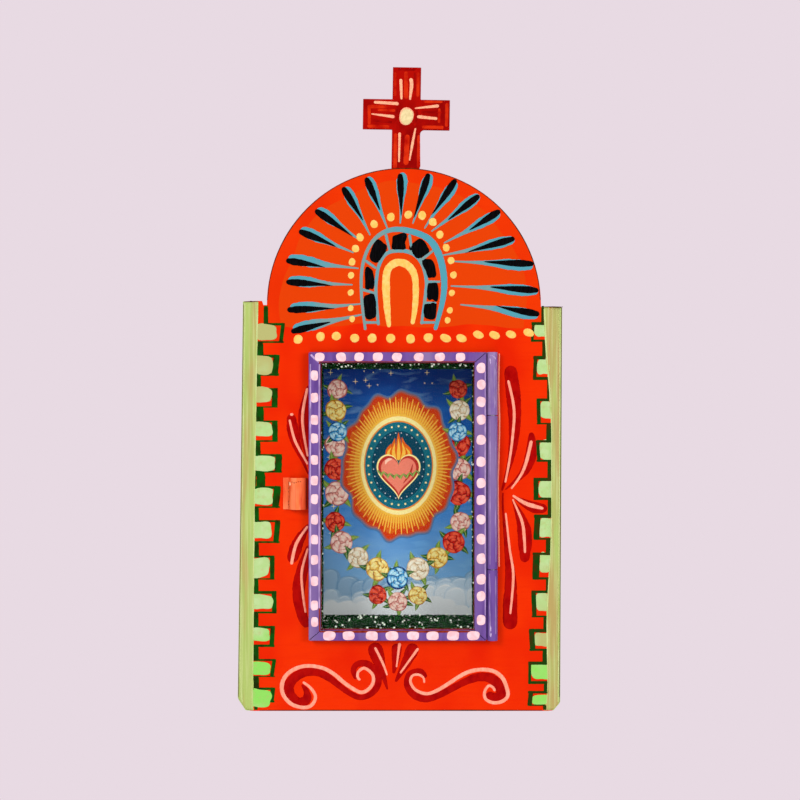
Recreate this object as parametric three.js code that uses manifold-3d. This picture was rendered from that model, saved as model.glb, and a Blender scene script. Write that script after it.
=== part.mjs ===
// A devotional niche of painted tinplate, for a wall: an arched face plate with a cross on top, a
// shallow box behind its window, and a glazed door that turns on a pin hinge.
// Sizes are in millimetres. X is to the right, Z is up and the front faces -Y. The origin is the
// middle of the box's rear face, which lies on the wall, level with the middle of the window.
import * as THREE from "three";
import { mergeVertices } from "three/addons/utils/BufferGeometryUtils.js";
import Module from "manifold-3d";

const wasm = await Module();
wasm.setup();

// Sheet metal and fits
const sheet = 0.5;
const runningGap = 0.3;
const mitreGap = 0.3;
const glassPlay = 0.3;
const cardPlay = 0.3;

// Window of the face plate
const windowWidth = 66.3;
const windowHeight = 115.2;

// Face plate: margins from the window to the folds and edges
const sillHeight = 35.9;
const springRise = 25.4;
const leftMargin = 27.3;
const rightMargin = 32.9;
const leftSpread = 2.3;
const rightSpread = -0.9;
const leftShoulder = 3.6;
const rightShoulder = 3.7;
const leftShoulderRise = 1.8;
const rightShoulderRise = -0.8;
const notchWidth = 2.1;
const notchSlope = 0.6;

// Side flaps, bent back from the face plate, each with its edge turned back further
const leftFlap = 7.1;
const rightFlap = 5.6;
const flapAngle = THREE.MathUtils.degToRad(25);
const turnedEdge = 1.6;
const turnedAngle = THREE.MathUtils.degToRad(42);
const leftClipWidth = 3.6;
const leftClipHeight = 4.8;
const rightClipWidth = 3;
const rightClipHeight = 3.1;

// Cross
const crossHeight = 43.9;
const crossWidth = 37.8;
const crossStemWidth = 12.3;
const crossArmHeight = 13.3;
const crossArmRise = 16.6;
const crossInnerRadius = 1.8;
const crossOffset = 0.7;
const crossLean = THREE.MathUtils.degToRad(-0.9);
const crossTang = 12;

// Box behind the window
const boxDepth = 30;
const boxMargin = 1;
const flangeWidth = 5;
const lipLength = 8;
const lipInset = 4;

// Card and glitter pads in the box
const cardThickness = 0.4;
const floorPadHeight = 3.05;
const ceilingPadHeight = 2.8;
const sidePadThickness = 0.5;

// Hanger tab
const hangerWidth = 12;
const hangerHeight = 16;
const hangerFoot = 9;
const hangerHole = 7;

// Door: channels bent from sheet round the edge of the glass
const doorSideLap = 5.3;
const doorEndLap = 4.8;
const stileWidth = 5.1;
const railWidth = 4.4;
const glassThickness = 2;

// Hinge
const pinDiameter = 3;
const leafWidth = 6.5;
const jogLength = 1.8;
const seamAngle = THREE.MathUtils.degToRad(215);
const lowerKnuckleLength = 30.6;
const middleKnuckleLength = 66.4;
const pinRecess = 0.4;

// Catch: a curled tab beside the door
const catchHeight = 13.8;
const catchCentre = 1.1;
const catchFoot = 2.9;
const catchRadius = 3.9;
const catchLift = 0.9;
const catchGap = 0.9;

// Solder fillets
const solderLeg = 1;
const capSolderLength = 18;
const flangeSolderLength = 14;
const flangeSolderInset = 22.6;
const crossSolderLength = 9;
const hangerSolderLength = 9;

// Fineness of curves
const arcStep = THREE.MathUtils.degToRad(15);
const foldStep = THREE.MathUtils.degToRad(31);
const archSteps = 56;

// Places that follow from the sizes above
const windowLeft = -windowWidth / 2;
const windowRight = windowWidth / 2;
const windowBottom = -windowHeight / 2;
const windowTop = windowHeight / 2;
const plateRear = -boxDepth;
const plateFront = plateRear - sheet;
const plateBottom = windowBottom - sillHeight;
const springLine = windowTop + springRise;
const leftFold = windowLeft - leftMargin;
const rightFold = windowRight + rightMargin;
const archLeft = leftFold + leftShoulder;
const archRight = rightFold - rightShoulder;
const archCentre = (archLeft + archRight) / 2;
const archRadius = (archRight - archLeft) / 2;
const archTop = springLine + archRadius;

const innerLeft = windowLeft - boxMargin;
const innerRight = windowRight + boxMargin;
const innerBottom = windowBottom - boxMargin;
const innerTop = windowTop + boxMargin;
const outerLeft = innerLeft - sheet;
const outerRight = innerRight + sheet;
const cardFront = -sheet - cardThickness;

const doorLeft = windowLeft - doorSideLap;
const doorRight = windowRight + doorSideLap;
const doorBottom = windowBottom - doorEndLap;
const doorTop = windowTop + doorEndLap;
const doorStandoff = sheet + runningGap;
const doorThickness = glassThickness + 2 * (glassPlay + sheet);
const pinRadius = pinDiameter / 2;
const boreRadius = pinRadius + runningGap;
const knuckleRadius = boreRadius + sheet;
const axisX = doorRight + runningGap + knuckleRadius;
const axisStandoff = runningGap + knuckleRadius;

const point = (a, b) => new THREE.Vector2(a, b);
const inFront = (distance) => plateFront - distance;

// Points of an arc about a centre, from one angle to another, ends included.
function arc(centre, radius, from, to, step = arcStep) {
  const count = Math.max(1, Math.ceil(Math.abs(to - from) / step - 1e-6));
  return Array.from({ length: count + 1 }, (_, i) => {
    const angle = from + ((to - from) * i) / count;
    return point(centre.x + radius * Math.cos(angle), centre.y + radius * Math.sin(angle));
  });
}

// Corners of a rectangle between two values on each axis.
function rectangle(left, right, bottom, top) {
  return [point(left, bottom), point(right, bottom), point(right, top), point(left, top)];
}

// The outline of a strip of sheet whose middle follows a path. A sharp fold is closed on the
// inside and round on the outside.
function stripOutline(path, thickness) {
  const half = thickness / 2;
  const near = [];
  const far = [];
  path.forEach((at, i) => {
    const before = i > 0 ? at.clone().sub(path[i - 1]).angle() : null;
    const after = i < path.length - 1 ? path[i + 1].clone().sub(at).angle() : null;
    const start = before ?? after;
    const end = after ?? before;
    const turn = Math.atan2(Math.sin(end - start), Math.cos(end - start));
    const normal = start + turn / 2 + Math.PI / 2;
    const reach = half / Math.cos(turn / 2);
    const side = turn > 0 ? 1 : -1;
    const inside = arc(at, side * reach, normal, normal)[0];
    const sharp = Math.abs(turn) > foldStep;
    const first = start - (side * Math.PI) / 2;
    const outside = sharp
      ? arc(inside, thickness, first, first + turn, foldStep)
      : [arc(at, -side * reach, normal, normal)[0]];
    (side > 0 ? near : far).push(inside);
    (side > 0 ? far : near).push(...outside);
  });
  return [...near, ...far.reverse()];
}

// A closed geometry with its faces turned outwards, whichever way its parts were mapped.
function facingOut(geometry) {
  const position = geometry.attributes.position;
  const corner = [0, 1, 2].map(() => new THREE.Vector3());
  let volume = 0;
  for (let i = 0; i < position.count; i += 3) {
    corner.forEach((c, k) => c.fromBufferAttribute(position, i + k));
    volume += corner[0].dot(corner[1].cross(corner[2]));
  }
  if (volume < 0) {
    for (let i = 0; i < position.count; i += 3) {
      const second = new THREE.Vector3().fromBufferAttribute(position, i + 1);
      const third = new THREE.Vector3().fromBufferAttribute(position, i + 2);
      position.setXYZ(i + 1, third.x, third.y, third.z);
      position.setXYZ(i + 2, second.x, second.y, second.z);
    }
  }
  geometry.computeVertexNormals();
  return geometry;
}

// A solid from an outline: place(a, b, end) says where each of its points lies at end 0 and 1.
function swept(outline, place, holes = []) {
  const shape = new THREE.Shape(outline);
  holes.forEach((hole) => shape.holes.push(new THREE.Path(hole)));
  const geometry = new THREE.ExtrudeGeometry(shape, { depth: 1, bevelEnabled: false });
  const position = geometry.attributes.position;
  for (let i = 0; i < position.count; i++) {
    position.setXYZ(i, ...place(position.getX(i), position.getY(i), position.getZ(i) > 0.5 ? 1 : 0));
  }
  return facingOut(geometry);
}

const alongX = (outline, from, to) => swept(outline, (a, b, end) => [end ? to : from, a, b]);
const alongY = (outline, from, to, holes) =>
  swept(outline, (a, b, end) => [a, end ? to : from, b], holes);
const alongZ = (outline, from, to) => swept(outline, (a, b, end) => [a, b, end ? to : from]);

// Exact joins and cuts of closed geometries.
function solidOf(geometry) {
  const bare = new THREE.BufferGeometry();
  bare.setAttribute("position", geometry.attributes.position);
  const merged = mergeVertices(bare, 1e-4);
  return new wasm.Manifold(
    new wasm.Mesh({
      numProp: 3,
      vertProperties: merged.attributes.position.array,
      triVerts: new Uint32Array(merged.index.array),
    }),
  );
}

function geometryOf(solid) {
  const { vertProperties, triVerts } = solid.getMesh();
  const geometry = new THREE.BufferGeometry();
  geometry.setAttribute("position", new THREE.BufferAttribute(vertProperties, 3));
  geometry.setIndex(new THREE.BufferAttribute(triVerts, 1));
  geometry.computeVertexNormals();
  return geometry;
}

const join = (...parts) => geometryOf(parts.map(solidOf).reduce((a, b) => a.add(b)));
const common = (a, b) => geometryOf(solidOf(a).intersect(solidOf(b)));

// Materials
const finish = (color, roughness, metalness = 0) =>
  new THREE.MeshStandardMaterial({ color, roughness, metalness });
const orangePaint = finish(0xee3a0a, 0.45);
const crossPaint = finish(0xb00a06, 0.45);
const purplePaint = finish(0x7d5aa6, 0.45);
const catchPaint = finish(0xf4703c, 0.45);
const bareTin = finish(0xb4b6b8, 0.4, 1);
const steelWire = finish(0x8c8f92, 0.35, 1);
const solder = finish(0xa9abad, 0.3, 1);
const printedCard = finish(0x2a5fa5, 0.6);
const greenGlitter = finish(0x0f5a24, 0.3);
const glass = new THREE.MeshStandardMaterial({
  color: 0xeaf4f2,
  roughness: 0.05,
  transparent: true,
  opacity: 0.3,
});

const niche = new THREE.Group();

function piece(name, geometry, material) {
  const mesh = new THREE.Mesh(geometry, material);
  mesh.name = name;
  niche.add(mesh);
}

// One side of the face plate's cross-section, along the middle of the sheet: the fold, the bend
// of the turned edge and its end. side is -1 for the left and 1 for the right.
function flapPath(side, fold, flap) {
  const step = (from, length, angle) =>
    point(from.x + side * length * Math.cos(angle), from.y + length * Math.sin(angle));
  const start = point(fold, plateRear - sheet / 2);
  const bend = step(start, flap, flapAngle);
  return [start, bend, step(bend, turnedEdge, flapAngle + turnedAngle)];
}

// How far a flap and its turned edge reach past the fold, seen from the front.
const flapReach = (flap) =>
  flap * Math.cos(flapAngle) + turnedEdge * Math.cos(flapAngle + turnedAngle);

// The face plate's silhouette, wider than the flaps where only their own edges bound them.
function plateSilhouette() {
  const beyond = 5;
  const edge = (side, fold, spread, flap) => fold + side * (spread + flapReach(flap));
  const leftEdge = edge(-1, leftFold, leftSpread, leftFlap);
  const rightEdge = edge(1, rightFold, rightSpread, rightFlap);
  const leftClip = beyond / leftClipWidth;
  const rightClip = beyond / rightClipWidth;
  return [
    point(leftEdge + leftClipWidth, plateBottom),
    point(rightEdge - rightClipWidth, plateBottom),
    point(rightEdge + beyond, plateBottom + rightClipHeight * (1 + rightClip)),
    point(rightEdge + beyond, springLine + rightShoulderRise),
    point(archRight, springLine + rightShoulderRise),
    ...archPoints(),
    point(archLeft - notchWidth + notchSlope, springLine),
    point(archLeft - notchWidth, springLine + leftShoulderRise),
    point(leftEdge - beyond, springLine + leftShoulderRise),
    point(leftEdge - beyond, plateBottom + leftClipHeight * (1 + leftClip)),
  ];
}

const archPoints = () =>
  arc(point(archCentre, springLine), archRadius, 0, Math.PI, Math.PI / archSteps);

// Face plate: one sheet, bent back at both sides, cut to its silhouette and pierced by the window.
function facePlate() {
  const path = [
    ...flapPath(-1, leftFold, leftFlap).reverse(),
    ...flapPath(1, rightFold, rightFlap),
  ];
  const below = plateBottom - sheet;
  const above = archTop + sheet;
  const shoulderHeight = springLine - plateBottom;
  const drift = (x, z) => {
    const spread = x < archCentre ? -leftSpread : rightSpread;
    return (spread * (springLine - z)) / shoulderHeight;
  };
  const bent = swept(stripOutline(path, sheet), (a, b, end) => {
    const z = end ? above : below;
    return [a + drift(a, z), b, z];
  });
  const deepest = plateRear + Math.max(leftFlap, rightFlap) + turnedEdge;
  const opening = rectangle(windowLeft, windowRight, windowBottom, windowTop);
  return common(bent, alongY(plateSilhouette(), plateFront - sheet, deepest, [opening]));
}

// Cross: a flat cut-out that leans a little, its tang square across behind the top of the arch.
function cross() {
  const stem = crossStemWidth / 2;
  const arm = crossWidth / 2;
  const armTop = crossArmRise + crossArmHeight;
  const inner = point(stem + crossInnerRadius, crossArmRise - crossInnerRadius);
  const outline = [
    point(-stem, -crossTang),
    point(stem, -crossTang),
    ...arc(inner, crossInnerRadius, Math.PI, Math.PI / 2),
    point(arm, crossArmRise),
    point(arm, armTop),
    point(stem, armTop),
    point(stem, crossHeight),
    point(-stem, crossHeight),
    point(-stem, armTop),
    point(-arm, armTop),
    point(-arm, crossArmRise),
    point(-stem, crossArmRise),
  ].map((p) => p.rotateAround(point(0, 0), crossLean));
  outline[0].y = -crossTang;
  outline[1].y = -crossTang;
  outline.forEach((p) => p.add(point(archCentre + crossOffset, archTop)));
  return alongY(outline, plateRear, plateRear + sheet);
}

// Box: back panel, side walls and front flanges, folded from one sheet.
function boxWrap() {
  const half = sheet / 2;
  const path = [
    point(outerLeft - flangeWidth, plateRear + half),
    point(innerLeft - half, plateRear + half),
    point(innerLeft - half, -half),
    point(innerRight + half, -half),
    point(innerRight + half, plateRear + half),
    point(outerRight + flangeWidth, plateRear + half),
  ];
  return alongZ(stripOutline(path, sheet), innerBottom, innerTop);
}

// A cap over one end of the box: a panel with a front flange and a lip over each side wall.
// side is 1 for the top and -1 for the bottom.
function boxCap(side) {
  const half = sheet / 2;
  const end = side > 0 ? innerTop : innerBottom;
  const level = end + side * half;
  const panel = [
    point(0, level),
    point(plateRear + half, level),
    point(plateRear + half, end + side * (sheet + flangeWidth)),
  ];
  const lips = [
    point(outerLeft - half, end - side * lipLength),
    point(outerLeft - half, level),
    point(outerRight + half, level),
    point(outerRight + half, end - side * lipLength),
  ];
  return join(
    alongX(stripOutline(panel, sheet), outerLeft, outerRight),
    alongY(stripOutline(lips, sheet), plateRear + lipInset, -lipInset),
  );
}

// Hanger tab: a foot on the top cap and an upright with a nail hole, flush with the back panel.
function hangerTab() {
  const seat = innerTop + sheet;
  const half = sheet / 2;
  const radius = hangerWidth / 2;
  const eye = point(0, seat + hangerHeight - radius);
  const bent = [
    point(-hangerFoot, seat + half),
    point(-half, seat + half),
    point(-half, seat + hangerHeight + sheet),
  ];
  const face = [
    point(-radius, seat - sheet),
    point(radius, seat - sheet),
    ...arc(eye, radius, 0, Math.PI),
  ];
  const hole = arc(eye, hangerHole / 2, 0, 2 * Math.PI).slice(1);
  return common(
    alongX(stripOutline(bent, sheet), -hangerWidth, hangerWidth),
    alongY(face, -hangerFoot - sheet, sheet, [hole]),
  );
}

// A plain slab between two values on each axis.
const slab = (left, right, rear, front, bottom, top) =>
  alongZ(rectangle(left, right, rear, front), bottom, top);

function pictureCard() {
  const x = [innerLeft + cardPlay, innerRight - cardPlay];
  const z = [innerBottom + cardPlay, innerTop - cardPlay];
  return slab(...x, -sheet, cardFront, ...z);
}

function endPad(end, height) {
  const inner = end + height;
  return slab(innerLeft, innerRight, cardFront, plateRear, Math.min(end, inner), Math.max(end, inner));
}

function sidePad(wall, inwards) {
  const face = wall + inwards * sidePadThickness;
  const bottom = innerBottom + floorPadHeight;
  const top = innerTop - ceilingPadHeight;
  return slab(Math.min(wall, face), Math.max(wall, face), cardFront, plateRear, bottom, top);
}

// Cross-section of a door channel, from its outer edge inwards and from the rear of the door
// forwards: it wraps the edge of the glass.
function channelOutline(width) {
  const half = sheet / 2;
  const rear = doorStandoff + half;
  const front = doorStandoff + doorThickness - half;
  const path = [point(width, rear), point(half, rear), point(half, front), point(width, front)];
  return stripOutline(path, sheet);
}

// A door channel between two mitres. place turns distances inwards, forwards and along to X, Y, Z.
function doorChannel(width, crossingWidth, from, to, place) {
  const trim = mitreGap / 2;
  return swept(channelOutline(width), (inwards, forwards, end) => {
    const mitre = trim + (inwards * crossingWidth) / width;
    return place(inwards, inFront(forwards), end ? to - mitre : from + mitre);
  });
}

const stile = (edge, inwards) =>
  doorChannel(stileWidth, railWidth, doorBottom, doorTop, (u, y, z) => [edge + inwards * u, y, z]);
const rail = (edge, inwards) =>
  doorChannel(railWidth, stileWidth, doorLeft, doorRight, (u, y, x) => [x, y, edge + inwards * u]);

function glassPane() {
  const margin = sheet + glassPlay;
  const rear = inFront(doorStandoff + margin);
  const x = [doorLeft + margin, doorRight - margin];
  return slab(...x, rear, rear - glassThickness, doorBottom + margin, doorTop - margin);
}

// A knuckle rolled from the edge of its own leaf. The leaf starts at a distance from the face
// plate and is jogged to meet the roll.
function knuckle(leafStandoff, bottom, length) {
  const centre = point(axisX, axisStandoff);
  const down = -Math.PI / 2;
  const leafEnd = axisX - leafWidth;
  const jog = axisX - jogLength;
  const outline = [
    point(leafEnd, leafStandoff),
    point(jog, leafStandoff),
    ...arc(centre, knuckleRadius, down, seamAngle),
    ...arc(centre, boreRadius, seamAngle, down),
    point(jog, leafStandoff + sheet),
    point(leafEnd, leafStandoff + sheet),
  ].map((p) => point(p.x, inFront(p.y)));
  return alongZ(outline, bottom, bottom + length);
}

function hingePin() {
  const circle = arc(point(axisX, inFront(axisStandoff)), pinRadius, 0, 2 * Math.PI).slice(1);
  return alongZ(circle, doorBottom + pinRecess, doorTop - pinRecess);
}

// Catch: a flat foot on the face plate and a hump that stands beside the door, its free end
// turned down to just above the plate.
function catchTab() {
  const half = sheet / 2;
  const radius = catchRadius - half;
  const centre = point(doorLeft - catchGap - catchRadius, catchLift);
  const rise = Math.PI - Math.asin((half - catchLift) / radius);
  const lowest = Math.asin((runningGap - catchLift) / radius);
  const hump = arc(centre, radius, rise, lowest);
  const path = [point(hump[0].x - catchFoot, half), ...hump];
  const outline = stripOutline(path, sheet).map((p) => point(p.x, inFront(p.y)));
  const bottom = catchCentre - catchHeight / 2;
  return alongZ(outline, bottom, bottom + catchHeight);
}

// A fillet of solder in a square corner: its two legs lie on the two faces.
const fillet = (corner, toA, toB) => [
  corner,
  point(corner.x + toA, corner.y),
  point(corner.x, corner.y + toB),
];

function capSolder(side, wall, outwards) {
  const end = side > 0 ? innerTop : innerBottom;
  const outline = fillet(point(wall, end - side * lipLength), outwards * sheet, -side * solderLeg);
  const middle = plateRear / 2;
  return alongY(outline, middle - capSolderLength / 2, middle + capSolderLength / 2);
}

function flangeSolder(edge, outwards, height) {
  const outline = fillet(point(edge, plateRear), outwards * solderLeg, sheet);
  return alongZ(outline, height - flangeSolderLength / 2, height + flangeSolderLength / 2);
}

function crossSolder() {
  const middle = archCentre + crossOffset;
  const outline = fillet(point(plateRear, archTop - crossTang), sheet, -solderLeg);
  return alongX(outline, middle - crossSolderLength / 2, middle + crossSolderLength / 2);
}

function hangerSolder() {
  const outline = fillet(point(-hangerFoot, innerTop + sheet), -solderLeg, sheet);
  return alongX(outline, -hangerSolderLength / 2, hangerSolderLength / 2);
}

piece("face_plate", facePlate(), orangePaint);
piece("cross", cross(), crossPaint);
piece("box_wrap", boxWrap(), bareTin);
piece("box_top_cap", boxCap(1), bareTin);
piece("box_bottom_cap", boxCap(-1), bareTin);
piece("hanger_tab", hangerTab(), bareTin);
piece("picture_card", pictureCard(), printedCard);
piece("glitter_floor", endPad(innerBottom, floorPadHeight), greenGlitter);
piece("glitter_ceiling", endPad(innerTop, -ceilingPadHeight), greenGlitter);
piece("glitter_left", sidePad(innerLeft, 1), greenGlitter);
piece("glitter_right", sidePad(innerRight, -1), greenGlitter);

piece("door_latch_stile", stile(doorLeft, 1), purplePaint);
piece("door_hinge_stile", stile(doorRight, -1), purplePaint);
piece("door_bottom_rail", rail(doorBottom, 1), purplePaint);
piece("door_top_rail", rail(doorTop, -1), purplePaint);
piece("glass_pane", glassPane(), glass);

const middleBottom = doorBottom + lowerKnuckleLength + runningGap;
const upperBottom = middleBottom + middleKnuckleLength + runningGap;
piece("lower_knuckle", knuckle(runningGap, doorBottom, lowerKnuckleLength), purplePaint);
piece("middle_knuckle", knuckle(0, middleBottom, middleKnuckleLength), purplePaint);
piece("upper_knuckle", knuckle(runningGap, upperBottom, doorTop - upperBottom), purplePaint);
piece("hinge_pin", hingePin(), steelWire);
piece("catch", catchTab(), catchPaint);

for (const [level, side] of [["top", 1], ["bottom", -1]]) {
  piece(`solder_${level}_left`, capSolder(side, outerLeft, -1), solder);
  piece(`solder_${level}_right`, capSolder(side, outerRight, 1), solder);
}
const solderTop = innerTop - flangeSolderInset;
const solderBottom = innerBottom + flangeSolderInset;
for (const [level, height] of [["upper", solderTop], ["lower", solderBottom]]) {
  piece(`solder_${level}_left`, flangeSolder(outerLeft - flangeWidth, -1, height), solder);
  piece(`solder_${level}_right`, flangeSolder(outerRight + flangeWidth, 1, height), solder);
}
piece("solder_cross", crossSolder(), solder);
piece("solder_hanger", hangerSolder(), solder);

export default niche;
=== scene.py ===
"""The finish of a devotional niche of painted tinplate: its paint, print, glitter, glass and solder.

Blender's lengths are in metres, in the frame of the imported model: X is to the right, Z is up and the
front faces -Y. Lengths in the tables and in the calls of the brush functions are in millimetres.
"""

import math
import random

import bmesh
import bpy
import numpy
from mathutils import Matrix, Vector, geometry, noise
from mathutils.bvhtree import BVHTree


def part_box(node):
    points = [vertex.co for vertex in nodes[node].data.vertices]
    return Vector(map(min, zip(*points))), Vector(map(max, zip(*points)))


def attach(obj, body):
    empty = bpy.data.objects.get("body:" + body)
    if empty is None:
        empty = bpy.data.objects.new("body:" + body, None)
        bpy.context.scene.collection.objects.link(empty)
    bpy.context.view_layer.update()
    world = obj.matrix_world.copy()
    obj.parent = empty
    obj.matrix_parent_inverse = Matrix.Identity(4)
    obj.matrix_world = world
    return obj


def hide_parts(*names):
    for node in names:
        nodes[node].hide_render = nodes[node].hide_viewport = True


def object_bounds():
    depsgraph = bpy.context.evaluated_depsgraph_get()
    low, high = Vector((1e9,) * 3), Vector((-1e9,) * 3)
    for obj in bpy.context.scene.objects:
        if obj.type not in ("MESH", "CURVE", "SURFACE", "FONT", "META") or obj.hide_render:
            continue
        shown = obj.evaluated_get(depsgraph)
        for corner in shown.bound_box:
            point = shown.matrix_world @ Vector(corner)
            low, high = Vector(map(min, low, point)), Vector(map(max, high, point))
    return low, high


MM = 0.001

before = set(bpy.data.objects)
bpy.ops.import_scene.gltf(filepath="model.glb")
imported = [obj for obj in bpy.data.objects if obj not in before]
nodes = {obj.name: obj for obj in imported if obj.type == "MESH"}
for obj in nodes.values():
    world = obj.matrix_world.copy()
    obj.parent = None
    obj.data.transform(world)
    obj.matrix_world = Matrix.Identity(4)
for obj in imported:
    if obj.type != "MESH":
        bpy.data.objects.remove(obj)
cad_low, cad_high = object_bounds()
plate_low, plate_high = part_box("face_plate")

# Centre of the arch, which its painted rays spread from
ARCH_X = 2.75
ARCH_Z = 83.0


def rgb(red, green, blue):
    """A colour as a screen shows it, from 0 to 255, as the linear values of a shader."""
    channels = [value / 255 for value in (red, green, blue)]
    linear = [c / 12.92 if c <= 0.04045 else ((c + 0.055) / 1.055) ** 2.4 for c in channels]
    return (*linear, 1.0)


# Colours of the paints
ORANGE = rgb(228, 45, 0)
DEEP_ORANGE = rgb(218, 32, 0)
PALE_ORANGE = rgb(214, 63, 4)
CROSS_RED = rgb(168, 8, 2)
DEEP_CROSS_RED = rgb(136, 2, 2)
CROSS_STRIPE = rgb(206, 44, 10)
LEAF_RED = rgb(170, 6, 2)
DEEP_LEAF_RED = rgb(150, 0, 2)
PINK = rgb(250, 148, 121)
PALE_PINK = rgb(255, 165, 140)
PEACH = rgb(246, 180, 140)
CREAM = rgb(218, 196, 144)
PALE_CREAM = rgb(234, 214, 162)
YELLOW = rgb(244, 186, 90)
PALE_YELLOW = rgb(246, 202, 116)
BLUE = rgb(79, 151, 167)
GREY_BLUE = rgb(116, 148, 148)
BLACK = rgb(2, 2, 3)
SOFT_BLACK = rgb(10, 8, 11)
BAND_GREEN = rgb(172, 192, 106)
BAND_KHAKI = rgb(182, 160, 98)
BAND_LIGHT = rgb(200, 210, 144)
DEEP_BAND = rgb(158, 174, 94)
DAB_GREEN = rgb(172, 204, 132)
DAB_LIGHT = rgb(190, 212, 158)
DAB_KHAKI = rgb(176, 174, 110)
DAB_BRIGHT = rgb(138, 210, 92)
KEY_GREEN = rgb(8, 76, 8)
DEEP_KEY_GREEN = rgb(26, 40, 4)
KEY_BROWN = rgb(54, 44, 6)
DARK_KEY = rgb(16, 62, 10)
PURPLE = rgb(111, 79, 150)
DEEP_PURPLE = rgb(94, 64, 132)
GREY_PURPLE = rgb(134, 110, 158)
LAVENDER = rgb(190, 160, 204)
DOOR_PINK = rgb(250, 206, 214)
DOOR_ROSE = rgb(240, 184, 190)
SALMON = rgb(246, 112, 58)
DEEP_SALMON = rgb(222, 74, 32)
PALE_SALMON = rgb(255, 150, 100)


def add_object(name, data):
    """A new object of the scene."""
    made = bpy.data.objects.new(name, data)
    bpy.context.scene.collection.objects.link(made)
    return made


class Nodes:
    """The nodes of a material or of the world, with links between them."""

    def __init__(self, tree):
        self.tree = tree

    def node(self, kind, **settings):
        made = self.tree.nodes.new(kind)
        for key, value in settings.items():
            setattr(made, key, value)
        return made

    def feed(self, socket, value):
        """Links an output to a socket, or sets the socket to a plain value."""
        if isinstance(value, bpy.types.NodeSocket):
            self.tree.links.new(value, socket)
        else:
            socket.default_value = value

    def result(self, kind, *values, **settings):
        """The first output of a new node, whose first inputs take the values."""
        made = self.node(kind, **settings)
        for socket, value in zip(made.inputs, values):
            self.feed(socket, value)
        return made.outputs[0]

    def maths(self, operation, first, second=0.0):
        return self.result("ShaderNodeMath", first, second, operation=operation)

    def either(self, share, first, second):
        """The first shader where the share is 0 and the second where it is 1."""
        return self.result("ShaderNodeMixShader", share, first, second)


class Finish(Nodes):
    """A material whose Principled shader is fed by patterns in the object's own coordinates."""

    def __init__(self, name, colour=(0.5, 0.5, 0.5, 1.0), roughness=0.45, metallic=0.0, gloss=0.02):
        self.material = bpy.data.materials.new(name)
        self.material.use_nodes = True
        super().__init__(self.material.node_tree)
        self.shader = self.tree.nodes["Principled BSDF"]
        self.set("Base Color", colour)
        self.set("Roughness", roughness)
        self.set("Metallic", metallic)
        self.set("Specular IOR Level", gloss)
        self.coordinates = self.node("ShaderNodeTexCoord").outputs["Object"]

    def set(self, socket, value):
        self.feed(self.shader.inputs[socket], value)

    def scaled(self, size):
        """The coordinates counted in cells of a size in mm, given along X, Y and Z."""
        mapping = self.node("ShaderNodeMapping")
        self.feed(mapping.inputs["Vector"], self.coordinates)
        mapping.inputs["Scale"].default_value = [1 / (length * MM) for length in size]
        return mapping.outputs["Vector"]

    def clouds(self, size, detail=3.0, distortion=0.0):
        """Soft noise whose features have a size in mm along X, Y and Z, from about 0.3 to 0.7."""
        texture = self.node("ShaderNodeTexNoise")
        self.feed(texture.inputs["Vector"], self.scaled(size))
        texture.inputs["Scale"].default_value = 1.0
        texture.inputs["Detail"].default_value = detail
        texture.inputs["Distortion"].default_value = distortion
        return texture.outputs["Fac"]

    def patches(self, size, low, high, start=0.0, end=1.0, detail=3.0, distortion=0.0):
        """The same noise, taken from the range low to high to the range start to end."""
        return self.spread(self.clouds(size, detail, distortion), low, high, start, end)

    def cells(self, size):
        """Blocks of random colour that have a size in mm along X, Y and Z."""
        texture = self.node("ShaderNodeTexVoronoi")
        self.feed(texture.inputs["Vector"], self.scaled(size))
        texture.inputs["Scale"].default_value = 1.0
        return texture.outputs["Color"]

    def along(self, axis):
        """The place along one axis, in metres."""
        split = self.node("ShaderNodeSeparateXYZ")
        self.feed(split.inputs[0], self.coordinates)
        return split.outputs[axis]

    def distance(self, x, z):
        """The distance from a point of the XZ plane, in metres."""
        across = self.maths("SUBTRACT", self.along("X"), x * MM)
        up = self.maths("SUBTRACT", self.along("Z"), z * MM)
        squares = self.maths("ADD", self.product(across, across), self.product(up, up))
        return self.maths("SQRT", squares)

    def product(self, first, second):
        return self.maths("MULTIPLY", first, second)

    def spread(self, value, low, high, start=0.0, end=1.0):
        """A value taken from the range low to high to the range start to end, and no further."""
        return self.result("ShaderNodeMapRange", value, low, high, start, end)

    def mix(self, share, first, second, blend="MIX"):
        made = self.node("ShaderNodeMix", data_type="RGBA", blend_type=blend)
        self.feed(made.inputs[0], share)
        self.feed(made.inputs[6], first)
        self.feed(made.inputs[7], second)
        return made.outputs[2]

    def layered(self, colour, layers):
        """A colour under patches of others: size, range of the noise, share, detail and colour."""
        for size, low, high, share, detail, tint in layers:
            colour = self.mix(self.patches(size, low, high, 0.0, share, detail), colour, tint)
        return colour

    def bump(self, height, depth, strength=1.0):
        """Relief of a depth in mm, on top of any that is there."""
        made = self.node("ShaderNodeBump")
        made.inputs["Strength"].default_value = strength
        made.inputs["Distance"].default_value = depth * MM
        self.feed(made.inputs["Height"], height)
        before = self.shader.inputs["Normal"].links
        if before:
            self.feed(made.inputs["Normal"], before[0].from_socket)
        self.set("Normal", made.outputs["Normal"])


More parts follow.
